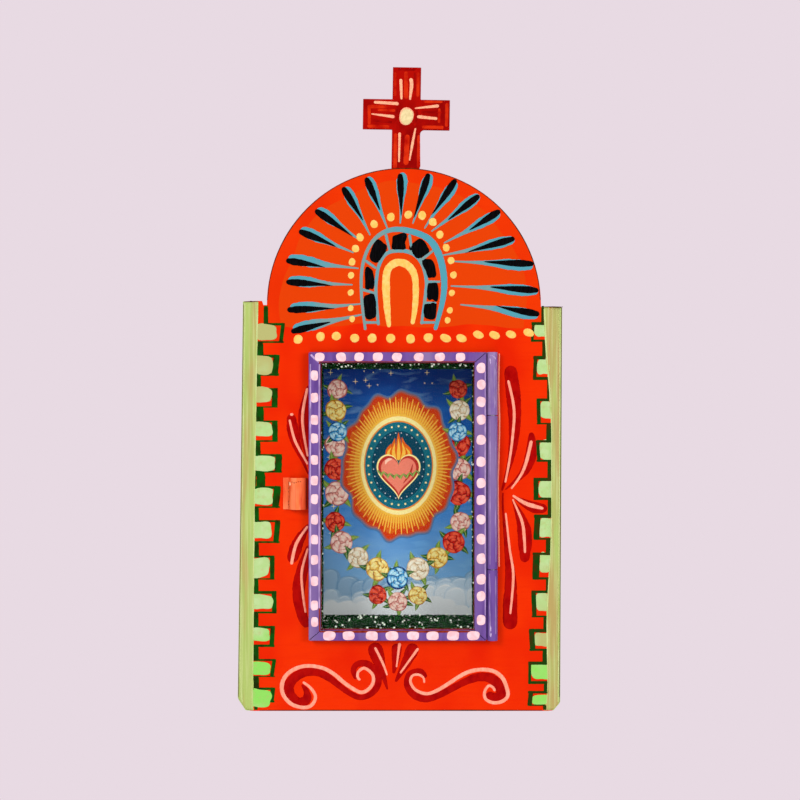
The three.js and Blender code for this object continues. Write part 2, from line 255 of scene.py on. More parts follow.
def paint(name, colour, shade, streak=(0.5, 4, 5), roughness=0.42, light=None, gloss=0.02):
    """Enamel put on with a brush: two tones in streaks, with the ridges that bristles leave."""
    finish = Finish(name, roughness=roughness, gloss=gloss)
    layers = [(streak, 0.42, 0.66, 1.0, 4, shade)]
    if light:
        layers.append(([6 * length for length in streak], 0.5, 0.68, 1.0, 2, light))
    finish.set("Base Color", finish.layered(colour, layers))
    ridges = finish.clouds((streak[0] * 0.5, streak[1], streak[2]), detail=2)
    finish.bump(ridges, 0.05)
    finish.bump(finish.clouds((9, 9, 9), detail=1), 0.25, strength=0.5)
    worn = finish.patches((3, 3, 3), 0.35, 0.65, roughness - 0.07, roughness + 0.08)
    finish.set("Roughness", worn)
    return finish.material


# Where the plate's own paint changes: paler in the arch, and green beyond its side bands' insides
PALE_RADIUS = 53.5
# Above PALE_FOOT painted shade also tones the whole plate towards PALE_ORANGE
PALE_FOOT = 73.5
GREEN_LEFT = -64.2
GREEN_RIGHT = 67.4
GREEN_TOP = 85.2


def plate_paint():
    """Orange enamel with its green side bands, paler inside the arch where it was gone over again, and
    toned above the arch's foot as painted shade.
    """
    finish = Finish("plate_paint", roughness=0.4)
    broad = finish.patches((26, 30, 34), 0.4, 0.62, detail=2)
    streaks = finish.patches((14, 20, 1.1), 0.5, 0.72, detail=4, distortion=0.6)
    orange = finish.mix(broad, ORANGE, DEEP_ORANGE)
    orange = finish.mix(finish.product(streaks, 0.35), orange, DEEP_ORANGE)
    wander = finish.patches((26, 26, 26), 0.3, 0.7, -0.0015, 0.0015, detail=1)
    reach = finish.maths("ADD", finish.distance(ARCH_X, ARCH_Z), wander)
    level = finish.maths("ADD", finish.along("Z"), wander)
    inside = finish.maths("LESS_THAN", reach, PALE_RADIUS * MM)
    above = finish.maths("GREATER_THAN", level, PALE_FOOT * MM)
    inner = finish.product(finish.product(inside, above), 0.55)
    # Painted shade: above PALE_FOOT the orange is toned towards PALE_ORANGE to darken the brighter-lit
    # upper plate
    pale_coat_and_shade = finish.maths("ADD", inner, finish.product(above, 0.3))
    orange = finish.mix(pale_coat_and_shade, orange, PALE_ORANGE)
    past_right = finish.maths("GREATER_THAN", finish.along("X"), GREEN_RIGHT * MM)
    past_left = finish.maths("LESS_THAN", finish.along("X"), GREEN_LEFT * MM)
    below = finish.maths("LESS_THAN", finish.along("Z"), GREEN_TOP * MM)
    bands = finish.product(finish.maths("ADD", past_right, past_left), below)
    finish.set("Base Color", finish.mix(bands, orange, BAND_GREEN))
    finish.bump(finish.clouds((12, 12, 0.35), detail=2), 0.035)
    finish.bump(finish.clouds((24, 24, 24), detail=1), 0.6, strength=0.5)
    finish.set("Roughness", finish.patches((5, 5, 2), 0.35, 0.65, 0.34, 0.5))
    return finish.material


def fading_blue(name, from_centre, grain, patch, wander, thin, full):
    """Blue that thins to grey where the brush lifts: grey at one place in mm and blue at another."""
    finish = Finish(name, roughness=0.42)
    patchy = finish.patches((patch, patch, patch), 0.35, 0.65, -wander * MM, wander * MM)
    place = finish.distance(ARCH_X, ARCH_Z) if from_centre else finish.along("X")
    share = finish.spread(finish.maths("ADD", place, patchy), thin * MM, full * MM)
    finish.set("Base Color", finish.mix(share, GREY_BLUE, BLUE))
    finish.bump(finish.clouds((grain, 2, grain)), 0.05)
    return finish.material


def bare_tin():
    """Tinplate as rolled, dulled by handling, with faint crystals and fine scratches."""
    finish = Finish("bare_tin", metallic=1.0)
    tin = finish.layered(rgb(186, 188, 190), [
        ((22, 22, 22), 0.38, 0.66, 1.0, 3, rgb(164, 165, 165)),
        ((7, 7, 7), 0.62, 0.76, 0.4, 6, rgb(132, 120, 102)),
    ])
    split = finish.node("ShaderNodeSeparateColor")
    finish.feed(split.inputs[0], finish.cells((3.2, 3.2, 3.2)))
    crystals = finish.spread(split.outputs[0], 0, 1, 0, 0.3)
    finish.set("Base Color", finish.mix(crystals, tin, rgb(206, 208, 212)))
    fine_marks = finish.clouds((0.25, 9, 9), detail=2)
    finish.set("Roughness", finish.spread(fine_marks, 0.3, 0.7, 0.34, 0.52))
    finish.bump(fine_marks, 0.015)
    finish.bump(finish.clouds((30, 30, 30), detail=1), 0.5, strength=0.3)
    return finish.material


def solder_metal():
    """Bright solder with brown traces of flux."""
    finish = Finish("solder_metal", metallic=1.0)
    flux = [((1.2, 1.2, 1.2), 0.5, 0.7, 1.0, 4, rgb(132, 122, 104))]
    finish.set("Base Color", finish.layered(rgb(206, 208, 210), flux))
    finish.set("Roughness", finish.patches((0.8, 0.8, 0.8), 0.3, 0.7, 0.14, 0.36))
    finish.bump(finish.clouds((0.5, 0.5, 0.5), detail=4), 0.08)
    return finish.material


def wire_steel():
    """Drawn wire, tarnished along its length."""
    finish = Finish("wire_steel", metallic=1.0)
    tarnish = [((1.5, 1.5, 6), 0.4, 0.7, 1.0, 4, rgb(92, 84, 76))]
    finish.set("Base Color", finish.layered(rgb(150, 152, 155), tarnish))
    finish.set("Roughness", finish.patches((0.3, 0.3, 8), 0.3, 0.7, 0.25, 0.45))
    finish.bump(finish.clouds((0.2, 0.2, 10)), 0.02)
    return finish.material


# Painted shade: the catch darkens from the first of these places to the second, beside the door
CATCH_SHADE = (-42.2, -39.0)


def catch_paint():
    """Salmon enamel laid over the curled tab in upright strokes, thin along its crease, with painted
    shade towards the door.
    """
    finish = Finish("catch_paint", roughness=0.38, gloss=0.15)
    mixed = finish.layered(SALMON, [
        ((1.6, 2, 12), 0.42, 0.66, 1.0, 3, DEEP_SALMON),
        ((2.6, 3, 14), 0.5, 0.64, 0.5, 2, PALE_SALMON),
    ])
    shade = finish.spread(finish.along("X"), CATCH_SHADE[0] * MM, CATCH_SHADE[1] * MM)
    finish.set("Base Color", finish.mix(shade, mixed, rgb(214, 56, 18)))
    finish.bump(finish.clouds((0.4, 1, 6), detail=3), 0.06)
    return finish.material


def glass():
    """Clear picture glass, which lets the lamps through to the print."""
    finish = Finish("glass", colour=(0.98, 0.99, 0.985, 1.0), roughness=0.01, gloss=0.5)
    finish.shader.inputs["Transmission Weight"].default_value = 1.0
    finish.shader.inputs["IOR"].default_value = 1.12
    rays = finish.node("ShaderNodeLightPath").outputs
    unseen = finish.maths("MAXIMUM", rays["Is Shadow Ray"], rays["Is Diffuse Ray"])
    clear = finish.result("ShaderNodeBsdfTransparent")
    mixed = finish.either(unseen, finish.shader.outputs[0], clear)
    finish.feed(finish.tree.nodes["Material Output"].inputs["Surface"], mixed)
    return finish.material


def glitter_glue():
    """Dark green glue between the glitter flakes."""
    finish = Finish("glitter_glue", roughness=0.6, gloss=0.0)
    patches = [((0.9, 0.9, 0.9), 0.42, 0.62, 1.0, 4, rgb(6, 42, 12))]
    finish.set("Base Color", finish.layered(rgb(2, 14, 4), patches))
    finish.bump(finish.clouds((0.35, 0.35, 0.35), detail=4), 0.15)
    return finish.material


def flake(name, colour, shade, roughness=0.4):
    """Glitter of one colour, no two flakes quite alike."""
    finish = Finish(name, roughness=roughness, gloss=0.0)
    finish.set("Base Color", finish.mix(finish.clouds((0.8, 0.8, 0.8)), colour, shade))
    return finish.material


# The printed sky: deepest at its top and palest at its foot. The board's face is in front of CARD_FACE
SKY_TOP = 52
SKY_FOOT = -46
CARD_FACE = -0.85


def sky_print():
    """The card: a printed sky, deep blue above and paling to haze below, on white board."""
    finish = Finish("sky_print", roughness=0.5)
    height = finish.along("Z")
    wisps = finish.clouds((16, 16, 5), detail=5, distortion=0.5)
    drift = finish.spread(wisps, 0.3, 0.7, -0.012, 0.012)
    level = finish.maths("ADD", height, drift)
    upper = finish.mix(finish.spread(level, 0, SKY_TOP * MM), rgb(36, 116, 196), rgb(6, 52, 136))
    lower = finish.mix(finish.spread(level, SKY_FOOT * MM, 0), rgb(120, 172, 214), upper)
    haze = finish.product(finish.spread(wisps, 0.52, 0.66), 0.35)
    sky = finish.mix(haze, lower, SKY_GLOW)
    face = finish.maths("LESS_THAN", finish.along("Y"), CARD_FACE * MM)
    finish.set("Base Color", finish.mix(face, rgb(226, 222, 212), sky))
    finish.bump(finish.clouds((0.4, 0.4, 0.4)), 0.015)
    return finish.material


def ink():
    """Printed colours, taken from the mesh, with the slight mottle of a print."""
    finish = Finish("ink", roughness=0.5)
    tint = finish.node("ShaderNodeVertexColor", layer_name="tint").outputs["Color"]
    mottle = finish.patches((0.9, 0.9, 0.9), 0.4, 0.7, 0.0, 0.35, detail=4)
    finish.set("Base Color", finish.mix(mottle, tint, (0.72, 0.66, 0.62, 1.0), "MULTIPLY"))
    finish.bump(finish.clouds((0.4, 0.4, 0.4)), 0.015)
    return finish.material


class Gathered:
    """Points and faces that are gathered one form at a time before they become one mesh."""

    def __init__(self):
        self.points = []
        self.faces = []
        self.tints = []
        self.kinds = []
        self.tint = None
        self.kind = 0

    def add(self, points, faces):
        first = len(self.points)
        self.points += points
        self.faces += [[first + index for index in face] for face in faces]
        self.tints += [self.tint] * len(faces)
        self.kinds += [self.kind] * len(faces)

    def loft(self, rings):
        """A closed skin over rings of points, each end shut by one face."""
        count = len(rings[0])
        faces = []
        for row in range(len(rings) - 1):
            for i in range(count):
                j = (i + 1) % count
                low, high = row * count, (row + 1) * count
                faces.append([low + i, low + j, high + j, high + i])
        faces.append(list(reversed(range(count))))
        last = (len(rings) - 1) * count
        faces.append([last + i for i in range(count)])
        self.add([point for ring in rings for point in ring], faces)

    def build(self, name, materials, body="niche", slot=None, replaces=(), soft=True):
        mesh = bpy.data.meshes.new(name)
        mesh.from_pydata(self.points, [], self.faces)
        for material in materials if isinstance(materials, (list, tuple)) else [materials]:
            mesh.materials.append(material)
        mesh.polygons.foreach_set("material_index", self.kinds)
        mesh.polygons.foreach_set("use_smooth", [soft] * len(self.faces))
        if self.tint:
            layer = mesh.color_attributes.new("tint", "FLOAT_COLOR", "CORNER")
            for polygon, tint in zip(mesh.polygons, self.tints):
                for corner in polygon.loop_indices:
                    layer.data[corner].color = tint
        mesh.update()
        piece = add_object(name, mesh)
        if replaces:
            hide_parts(*replaces)
        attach(piece, body)
        return piece


class Surface:
    """The front of some CAD nodes, which a brush meets as it moves along +Y."""

    def __init__(self, *names):
        points = []
        faces = []
        for name in names:
            first = len(points)
            points += [vertex.co.copy() for vertex in nodes[name].data.vertices]
            faces += [[first + i for i in p.vertices] for p in nodes[name].data.polygons]
        self.tree = BVHTree.FromPolygons(points, faces)
        self.start = min(point.y for point in points) - 10 * MM

    def at(self, x, z, lift):
        """The front at x and z, raised by lift, all in mm. Past its edge, the nearest place on it."""
        start = Vector((x * MM, self.start, z * MM))
        place = self.tree.ray_cast(start, Vector((0, 1, 0)))[0]
        if place is None:
            place = self.tree.find_nearest(start)[0]
        return Vector((start.x, place.y - lift * MM, start.z))


# A brush stroke's section: the share of its half width and the share of its height
STROKE_SECTION = [
    (-1.0, -0.5), (-1.0, 0.3), (-0.86, 0.82), (-0.45, 1.0), (0.0, 0.94),
    (0.45, 1.0), (0.86, 0.82), (1.0, 0.3), (1.0, -0.5), (0.3, -0.5), (-0.3, -0.5),
]
# The same for a dab: the share of its outline and of its height
DAB_SECTION = [
    (0.2, -0.5), (0.6, -0.5), (1.0, -0.5), (1.0, 0.3), (0.93, 0.82), (0.78, 1.0), (0.4, 0.96),
    (0.12, 0.94),
]
# A dab that is bent over the plate's fold has more rings
BENT_SECTION = [(0.2, -0.5), (0.5, -0.5), (0.8, -0.5), (1.0, -0.5), (1.0, 0.3), (0.95, 0.85)]
BENT_SECTION += [(0.88 - 0.08 * step, 1.0) for step in range(11)]
# How far apart the rings of a stroke are, and the points of its curve
STATION = 0.6
CURVE_STEP = 0.35


def smooth(line):
    """Points on a smooth curve through the points of a line."""
    given = [Vector(point) for point in line]
    if len(given) == 2:
        return given
    last = len(given) - 1
    curve = []
    for i in range(last):
        a, b, c, d = (given[min(max(i + k, 0), last)] for k in (-1, 0, 1, 2))
        steps = max(2, round((c - b).length / CURVE_STEP))
        for step in range(steps):
            t = step / steps
            cubic = -a + 3 * b - 3 * c + d
            square = 2 * a - 5 * b + 4 * c - d
            curve.append((2 * b + (c - a) * t + square * t * t + cubic * t * t * t) / 2)
    curve.append(given[-1])
    return curve


def share_along(values, share):
    """A value read from evenly spaced ones at a share of the way along them."""
    place = share * (len(values) - 1)
    index = min(int(place), len(values) - 2)
    return values[index] + (values[index + 1] - values[index]) * (place - index)


def stations_along(total, ends, blunt, spacing):
    """Distances along a stroke at which it has a ring, close together at its two ends."""
    caps = (0.0, 0.04) if blunt else (0.0, 0.05, 0.2, 0.5)
    stations = [ends[0] * share for share in caps]
    steps = max(1, round((total - sum(ends)) / spacing))
    stations += [ends[0] + (total - sum(ends)) * i / steps for i in range(steps + 1)]
    return stations + [total - ends[1] * share for share in reversed(caps)]


def brush_line(line, widths, blunt=False, seed=1.0, spacing=STATION):
    """Places that a brush passes: for each its middle, the way across and half the paint's width."""
    curve = smooth(line)
    lengths = [0.0]
    for before, after in zip(curve, curve[1:]):
        lengths.append(lengths[-1] + (after - before).length)
    total = lengths[-1]
    ends = [min(width / 2, total / 3) for width in (widths[0], widths[-1])]
    places = []
    segment = 0
    for station in stations_along(total, ends, blunt, spacing):
        while segment < len(curve) - 2 and lengths[segment + 1] < station:
            segment += 1
        part = (station - lengths[segment]) / max(lengths[segment + 1] - lengths[segment], 1e-9)
        centre = curve[segment].lerp(curve[segment + 1], part)
        ahead = curve[min(segment + 2, len(curve) - 1)] - curve[max(segment - 1, 0)]
        across = Vector((-ahead.y, ahead.x)).normalized()
        half = share_along(widths, station / total) / 2
        for end, radius in ((station, ends[0]), (total - station, ends[1])):
            if end < radius:
                taper = math.sqrt(max(radius**2 - (radius - end) ** 2, 0)) / radius
                half *= 0.82 + 0.18 * taper if blunt else max(taper, 0.12)
        uneven = noise.noise(Vector((centre.x * 0.8, centre.y * 0.8, seed))) * 0.09
        places.append((centre, across, max(half * (1 + uneven), 0.04)))
    return places


class Brush(Gathered):
    """Strokes and dabs of paint on a surface."""

    def __init__(self, surface):
        super().__init__()
        self.surface = surface

    def stroke(self, line, widths, lift, blunt=False):
        """A stroke along a line of points (x, z), its widths spaced evenly along it."""
        rings = []
        for centre, across, half in brush_line(line, widths, blunt, lift * 9):
            height = lift * min(1.0, 0.3 + half)
            ring = []
            for side, rise in STROKE_SECTION:
                edge = centre + across * side * half
                ring.append(self.surface.at(edge.x, edge.y, rise * height))
            rings.append(ring)
        self.loft(rings)

    def dab(self, outline, lift, section=DAB_SECTION):
        """A dab inside a closed outline of points (x, z)."""
        middle = sum((Vector(point) for point in outline), Vector((0, 0))) / len(outline)
        rings = []
        for share, rise in section:
            ring = []
            for point in outline:
                place = middle + (Vector(point) - middle) * share
                ring.append(self.surface.at(place.x, place.y, rise * lift))
            rings.append(ring)
        self.loft(rings)


def rounded(x, z, width, height, squareness=2.2, turn=0.0, uneven=0.05, count=26):
    """Outline of a hand-made oval or, with more squareness, of a box with round corners."""
    lean = math.radians(turn)
    outline = []
    for i in range(count):
        angle = 2 * math.pi * i / count
        cosine, sine = math.cos(angle), math.sin(angle)
        reach = (abs(cosine) ** squareness + abs(sine) ** squareness) ** (-1 / squareness)
        reach *= 1 + uneven * noise.noise(Vector((x + cosine * 0.9, z + sine * 0.9, width))) * 2
        point = Vector((cosine * reach * width / 2, sine * reach * height / 2))
        across = point.x * math.cos(lean) - point.y * math.sin(lean)
        up = point.x * math.sin(lean) + point.y * math.cos(lean)
        outline.append((x + across, z + up))
    return outline


def polar(angle, radius):
    """A point given by its angle in degrees and its distance from the arch's centre."""
    turn = math.radians(angle)
    return (ARCH_X + radius * math.cos(turn), ARCH_Z + radius * math.sin(turn))


plate = Surface("face_plate")

# Rays: angle and radius of the black core's outer end and tip, then of the blue's head and tip
RAYS = [
    ((-166.7, 50.0), (-166.9, 31.4), (-170.4, 46.6), (-167.1, 17.4)),
    ((-177.6, 50.4), (-177.2, 30.2), (179.2, 46.5), (178.6, 18.8)),
    ((168.8, 51.8), (164.8, 32.2), (166.1, 49.5), (158.4, 23.9)),
    ((159.2, 54.4), (154.4, 38.0), (155.0, 52.5), (141.0, 25.3)),
    ((144.7, 55.5), (138.8, 37.9), (141.6, 54.4), (133.8, 31.5)),
    ((133.0, 56.1), (126.7, 37.2), (129.8, 54.9), (123.6, 33.3)),
    ((117.4, 57.3), (115.7, 39.6), (114.6, 55.6), (115.8, 33.6)),
    ((106.5, 57.4), (104.0, 41.4), (104.0, 57.0), (102.1, 33.6)),
    ((91.6, 56.8), (91.7, 38.7), (88.9, 57.2), (92.6, 35.4)),
    ((79.4, 57.8), (83.5, 38.1), (77.6, 57.0), (83.8, 35.5)),
    ((67.6, 58.7), (73.0, 40.5), (66.2, 55.6), (75.0, 34.4)),
    ((55.6, 57.5), (63.3, 40.5), (56.0, 57.0), (69.6, 34.1)),
    ((44.5, 58.2), (49.3, 42.1), (42.9, 55.4), (57.2, 32.0)),
    ((31.1, 55.8), (40.5, 35.0), (30.4, 54.6), (53.2, 26.8)),
    ((17.7, 58.8), (29.6, 38.3), (15.6, 56.6), (41.4, 28.7)),
    ((6.2, 58.5), (12.6, 36.7), (5.4, 57.2), (22.2, 21.9)),
    ((-3.9, 58.7), (-0.6, 40.0), (-5.6, 56.6), (0.4, 24.5)),
]

ARCH_DOTS = [
    (-10.2, 118.1), (-2.9, 121.3), (4.7, 122.3), (10.7, 121.9), (15.4, 119.1), (18.4, 113.6),
    (21.1, 108.0), (23.2, 102.3), (24.3, 96.1), (23.6, 88.2), (22.7, 80.7), (21.7, 76.4),
    (-16.3, 112.4), (-18.3, 107.5), (-19.8, 101.7), (-20.2, 95.9), (-20.4, 88.4),
    (-20.4, 81.7), (-19.8, 76.9),
]
ROW_DOTS = [
    (-43.3, 68.1), (-33.5, 69.3), (-26.6, 69.4), (-18.6, 68.6), (-11.0, 68.6), (-3.0, 68.5),
    (5.6, 68.3), (13.4, 68.8), (20.8, 68.6), (27.8, 68.5), (35.1, 70.0), (42.1, 69.9),
    (49.4, 70.2), (57.0, 71.0),
]

HORSESHOE_OUTER = [
    (-14.0, 72.1), (-15.7, 87.2), (-15.3, 99.8), (-11.9, 109.1), (-6.0, 114.6), (2.0, 115.8),
    (12.5, 112.4), (17.6, 105.7), (20.1, 95.6), (19.7, 85.5), (16.3, 72.1),
]
HORSESHOE_INNER = [
    (-8.3, 74.2), (-9.4, 87.2), (-9.0, 95.6), (-7.6, 101.5), (-4.3, 105.7), (2.0, 106.6),
    (7.4, 104.9), (10.8, 100.7), (12.5, 93.9), (12.1, 87.2), (10.4, 74.6),
]
HORSESHOE_BARS = [
    ((-14.2, 75.4), (-8.5, 75.4)), ((10.0, 75.4), (16.3, 75.4)), ((-14.0, 102.3), (-9.4, 99.0)),
    ((-15.3, 89.7), (-9.4, 88.0)), ((-5.1, 113.6), (-3.3, 106.1)), ((5.2, 113.4), (6.3, 106.2)),
    ((10.6, 102.8), (15.4, 106.6)), ((12.5, 93.1), (18.4, 93.1)), ((11.7, 83.9), (16.7, 83.9)),
]
# Stones of the doorway: middle, width, height and lean in degrees
HORSESHOE_STONES = [
    (-11.9, 83.0, 5.0, 10.0, 4), (-12.3, 94.5, 3.9, 9.6, 0), (-8.7, 106.4, 5.6, 9.8, -28),
    (0.6, 110.5, 6.3, 7.0, 2), (9.5, 107.4, 6.6, 7.6, 42), (14.0, 99.0, 4.6, 9.1, 18),
    (15.0, 88.7, 4.3, 8.3, 2), (14.2, 80.6, 5.0, 7.4, -4),
]
YELLOW_HORSESHOE = [
    (-3.7, 73.3), (-4.7, 83.9), (-5.0, 93.9), (-3.9, 99.0), (0.0, 101.5), (4.5, 100.2),
    (7.4, 95.6), (7.9, 88.0), (7.4, 80.5), (6.4, 74.6),
]

# Widths of a ray's blue and of its black core, from the outer end inwards
RAY_WIDTHS = [3.0, 4.9, 4.6, 2.8, 1.6, 1.0, 0.6]
CORE_WIDTHS = [2.0, 3.3, 3.0, 2.0, 1.1, 0.3]


def paint_ray(blue, black, core_head, core_tip, head, tip):
    """A blue teardrop that points to the arch's centre, with a black core."""
    start, end = Vector(polar(*head)), Vector(polar(*tip))
    core_start, core_end = Vector(polar(*core_head)), Vector(polar(*core_tip))
    outwards = (core_start - core_end).normalized()
    start = start.lerp(core_start, 0.6) + outwards * 0.7
    shoulder = start.lerp(end, 0.3).lerp(core_start.lerp(core_end, 0.4), 0.25)
    knee = start.lerp(end, 0.6).lerp(core_end, 0.3)
    blue.stroke([start, shoulder, knee, end], RAY_WIDTHS, 0.12)
    waist = core_start.lerp(core_end, 0.55).lerp(start.lerp(end, 0.35), 0.12)
    black.stroke([core_start + outwards * 0.4, waist, core_end], CORE_WIDTHS, 0.2)


def paint_doorway(black):
    """A doorway of two blue lines with bars across, and black stones between them."""
    outer, inner = Brush(plate), Brush(plate)
    outer.stroke(HORSESHOE_OUTER, [1.2, 1.4, 1.5, 2.4, 3.2, 2.7, 1.6], 0.12)
    inner.stroke(HORSESHOE_INNER, [1.3, 1.4, 1.6, 1.9, 1.5, 1.2], 0.12)
    for start, end in HORSESHOE_BARS:
        start, end = Vector(start), Vector(end)
        inner.stroke([start.lerp(end, -0.04), start.lerp(end, 1.04)], [1.3, 1.0], 0.16)
    outer.build("horseshoe_outer", fading_blue("horseshoe_paint", False, 0.6, 3, 4, -8, 5))
    grey_blue = paint("grey_blue_paint", GREY_BLUE, rgb(88, 152, 170), (1, 2, 3), 0.42)
    inner.build("horseshoe_inner", grey_blue)
    for x, z, width, height, lean in HORSESHOE_STONES:
        black.dab(rounded(x, z, width * 1.06, height * 1.04, 4.5, lean, 0.2), 0.14)


def paint_yellow():
    """The yellow line in the doorway, the dots round it and the row of dots under the arch."""
    yellow = Brush(plate)
    yellow.stroke(YELLOW_HORSESHOE, [1.8, 3.0, 3.4, 3.2, 3.4, 2.8, 2.6, 1.8], 0.18)
    for x, z in ARCH_DOTS:
        size = 2.6 + 0.8 * max(0, (z - 85) / 35)
        yellow.dab(rounded(x, z, size, size * 1.1, 2.0, 30 * math.sin(x), 0.08), 0.28)
    for x, z in ROW_DOTS:
        right = max(0, min(1, (x - 10) / 12))
        width, height = 3.9 + 0.9 * right, 4.0 - 0.6 * right
        yellow.dab(rounded(x, z, width, height, 2.0, -22 * right, 0.07), 0.3)
    yellow.build("dots_yellow", paint("yellow_paint", YELLOW, PALE_YELLOW, (1.5, 2, 1.5), 0.4))


def paint_arch():
    """The sunburst in the arch, the doorway under it and the yellow dots."""
    blue, black = Brush(plate), Brush(plate)
    for ray in RAYS:
        paint_ray(blue, black, *ray)
    blue.build("rays_blue", fading_blue("ray_paint", True, 0.5, 2, 3, 34, 43))
    paint_doorway(black)
    black.build("rays_black", paint("black_paint", BLACK, SOFT_BLACK, (0.5, 2, 3), 0.34))
    paint_yellow()


# Inner boundaries of the green side bands, from the top down
LEFT_BOUNDARY = [
    (-60.5, 84.6), (-61.0, 62), (-61.3, 41.7), (-62.0, -1.8), (-62.4, -45.2), (-62.7, -93.3),
]
RIGHT_BOUNDARY = [
    (63.4, 82.0), (64.3, 60.9), (65.4, 51), (66.0, 42.6), (66.7, 30.0), (66.7, -10.5),
    (66.2, -25.7), (65.2, -40.0), (64.5, -56.5), (65.0, -80.0), (65.4, -86.5), (63.6, -93.3),
]
# Dabs beside each band: tip, top and bottom, then the block of the key line beside each one (near
# and far side, top and bottom) and the far side of the upright that the line has above it
LEFT_KEY = [
    (-52.4, 74.9, 67.4, -51.1, -49.4, 75.2, 66.5, -56.3),
    (-54.2, 60.9, 52.6, -54.4, -51.6, 61.4, 52.2, -58.4),
    (-54.6, 47.5, 40.9, -54.7, -52.1, 46.9, 38.4, -59.4),
    (-54.2, 32.6, 25.9, -54.6, -52.1, 32.8, 23.5, -58.2),
    (-53.0, 17.6, 11.0, -53.3, -50.3, 18.2, 10.1, -59.6),
    (-53.7, 3.7, -3.5, -54.2, -51.1, 4.3, -5.2, -57.6),
    (-54.6, -10.9, -18.6, -53.7, -51.3, -10.5, -20.5, -60.3),
    (-55.2, -26.9, -35.4, -55.5, -53.5, -25.9, -36.4, -60.3),
    (-54.3, -42.8, -49.3, -54.7, -52.6, -41.3, -51.1, -60.5),
    (-55.3, -57.3, -63.1, -55.5, -53.5, -56.5, -65.7, -60.5),
    (-55.2, -72.1, -77.8, -55.0, -53.3, -70.9, -78.7, -60.4),
    (-55.0, -83.9, -91.5, -55.5, -53.5, -83.3, -89.8, -60.3),
]
RIGHT_KEY = [
    (59.4, 74.9, 69.1, 59.4, 58.2, 75.6, 67.0, 62.5),
    (60.6, 59.5, 52.7, 60.6, 59.0, 60.9, 50.4, 62.9),
    (61.9, 41.3, 33.5, 62.2, 60.5, 42.4, 31.1, 65.0),
    (61.9, 24.3, 15.6, 61.9, 60.4, 24.3, 14.8, 64.7),
    (61.4, 6.9, -1.2, 61.3, 59.1, 7.9, -1.8, 65.2),
    (61.9, -9.9, -18.3, 61.9, 59.3, -8.1, -19.1, 65.3),
    (61.9, -24.4, -33.5, 61.7, 58.7, -24.6, -36.4, 64.5),
    (60.2, -42.0, -50.0, 60.3, 58.3, -41.1, -52.8, 64.5),
    (59.7, -59.4, -65.4, 59.7, 57.3, -57.8, -67.4, 63.4),
    (58.0, -72.4, -80.0, 58.1, 56.8, -72.0, -81.8, 63.0),
    (58.4, -86.5, -90.8, 58.7, 56.7, -84.8, -91.3, 63.6),
]
KEY_TOP = 82.6
# The first upright on the left stands clear of the band
FIRST_POST = -58.2
# How far the key line starts from its band
KEY_GAP = 0.2
# The plate's left and right sides: the clip of the lower corner, across and up, and the side's lean
SIDE_EDGES = {-1: (4.2, 4.8, 2.3), 1: (3.6, 3.1, 0.9)}
SIDE_HEIGHT = 176.5
# Where the paint of a band lies between its boundary and the edge, in front and then behind it
BAND_FRONT = [0, 0.02, 0.05, 0.12, 0.2, 0.3, 0.45, 0.6, 0.75, 0.88, 0.96, 1.0]
BAND_REAR = [0.7, 0.4, 0.2, 0.1]
BAND_ROWS = 150
# How far the rear of a band's paint is sunk into the plate
SUNK = -0.05
# How high the painted highlight lines and the painted shade lines of the edges stand on each side's
# band
HIGHLIGHT_LIFTS = {-1: 0.34, 1: 0.18}
SHADE_LINE_LIFTS = {-1: 0.24, 1: 0.14}


def boundary_at(boundary, z):
    """The x of a boundary at a height."""
    for (x_high, high), (x_low, low) in zip(boundary, boundary[1:]):
        if z >= low:
            return x_high + (x_low - x_high) * min(1, (high - z) / (high - low))
    return boundary[-1][0]


def edge_at(side, z):
    """The x of the face plate's outer edge at a height, a hair inside it."""
    clip, corner, lean = SIDE_EDGES[side]
    rise = z - plate_low.z / MM
    share = rise / SIDE_HEIGHT
    x = (plate_low.x if side < 0 else plate_high.x) / MM
    x -= side * lean * (share if side < 0 else 1 - share)
    if rise < corner:
        x -= side * clip * (1 - rise / corner)
    return x - side * 0.25


def band(side, boundary, top, thickness):
    """The paint of one green band, from its inner boundary to the edge of the flap."""
    bottom = plate_low.z / MM + 0.25
    lifts = [SUNK, thickness * 0.7] + [thickness] * (len(BAND_FRONT) - 4) + [thickness * 0.7, SUNK]
    lifts += [SUNK] * len(BAND_REAR)
    rings = []
    for i in range(BAND_ROWS + 1):
        z = top + (bottom - top) * i / BAND_ROWS
        inner = boundary_at(boundary, z) + noise.noise(Vector((side * 7.0, 0, z * 0.25))) * 0.25
        outer = edge_at(side, z)
        at_end = 0.5 if i in (0, BAND_ROWS) else 1.0
        ring = []
        for share, lift in zip(BAND_FRONT + BAND_REAR, lifts):
            ring.append(plate.at(inner + (outer - inner) * share, z, lift * at_end))
        rings.append(ring)
    gathered = Gathered()
    gathered.loft(rings)
    return gathered


def paint_dab(dabs, number, side, boundary, tip, top, bottom):
    """One dab, from its tip on the plate to its root over the fold of the band."""
    left = side < 0
    middle = (top + bottom) / 2
    root = boundary_at(boundary, middle) + side * (2.4 if left else 1.6)
    squareness = 2.9 + 1.4 * abs(math.sin(5.3 * number))
    lean = 4 * math.sin(2.1 * number)
    width = abs(root - tip)
    outline = rounded((root + tip) / 2, middle, width, top - bottom, squareness, lean, 0.13, 40)
    dabs.dab(outline, 0.13 if left else 0.05, BENT_SECTION)


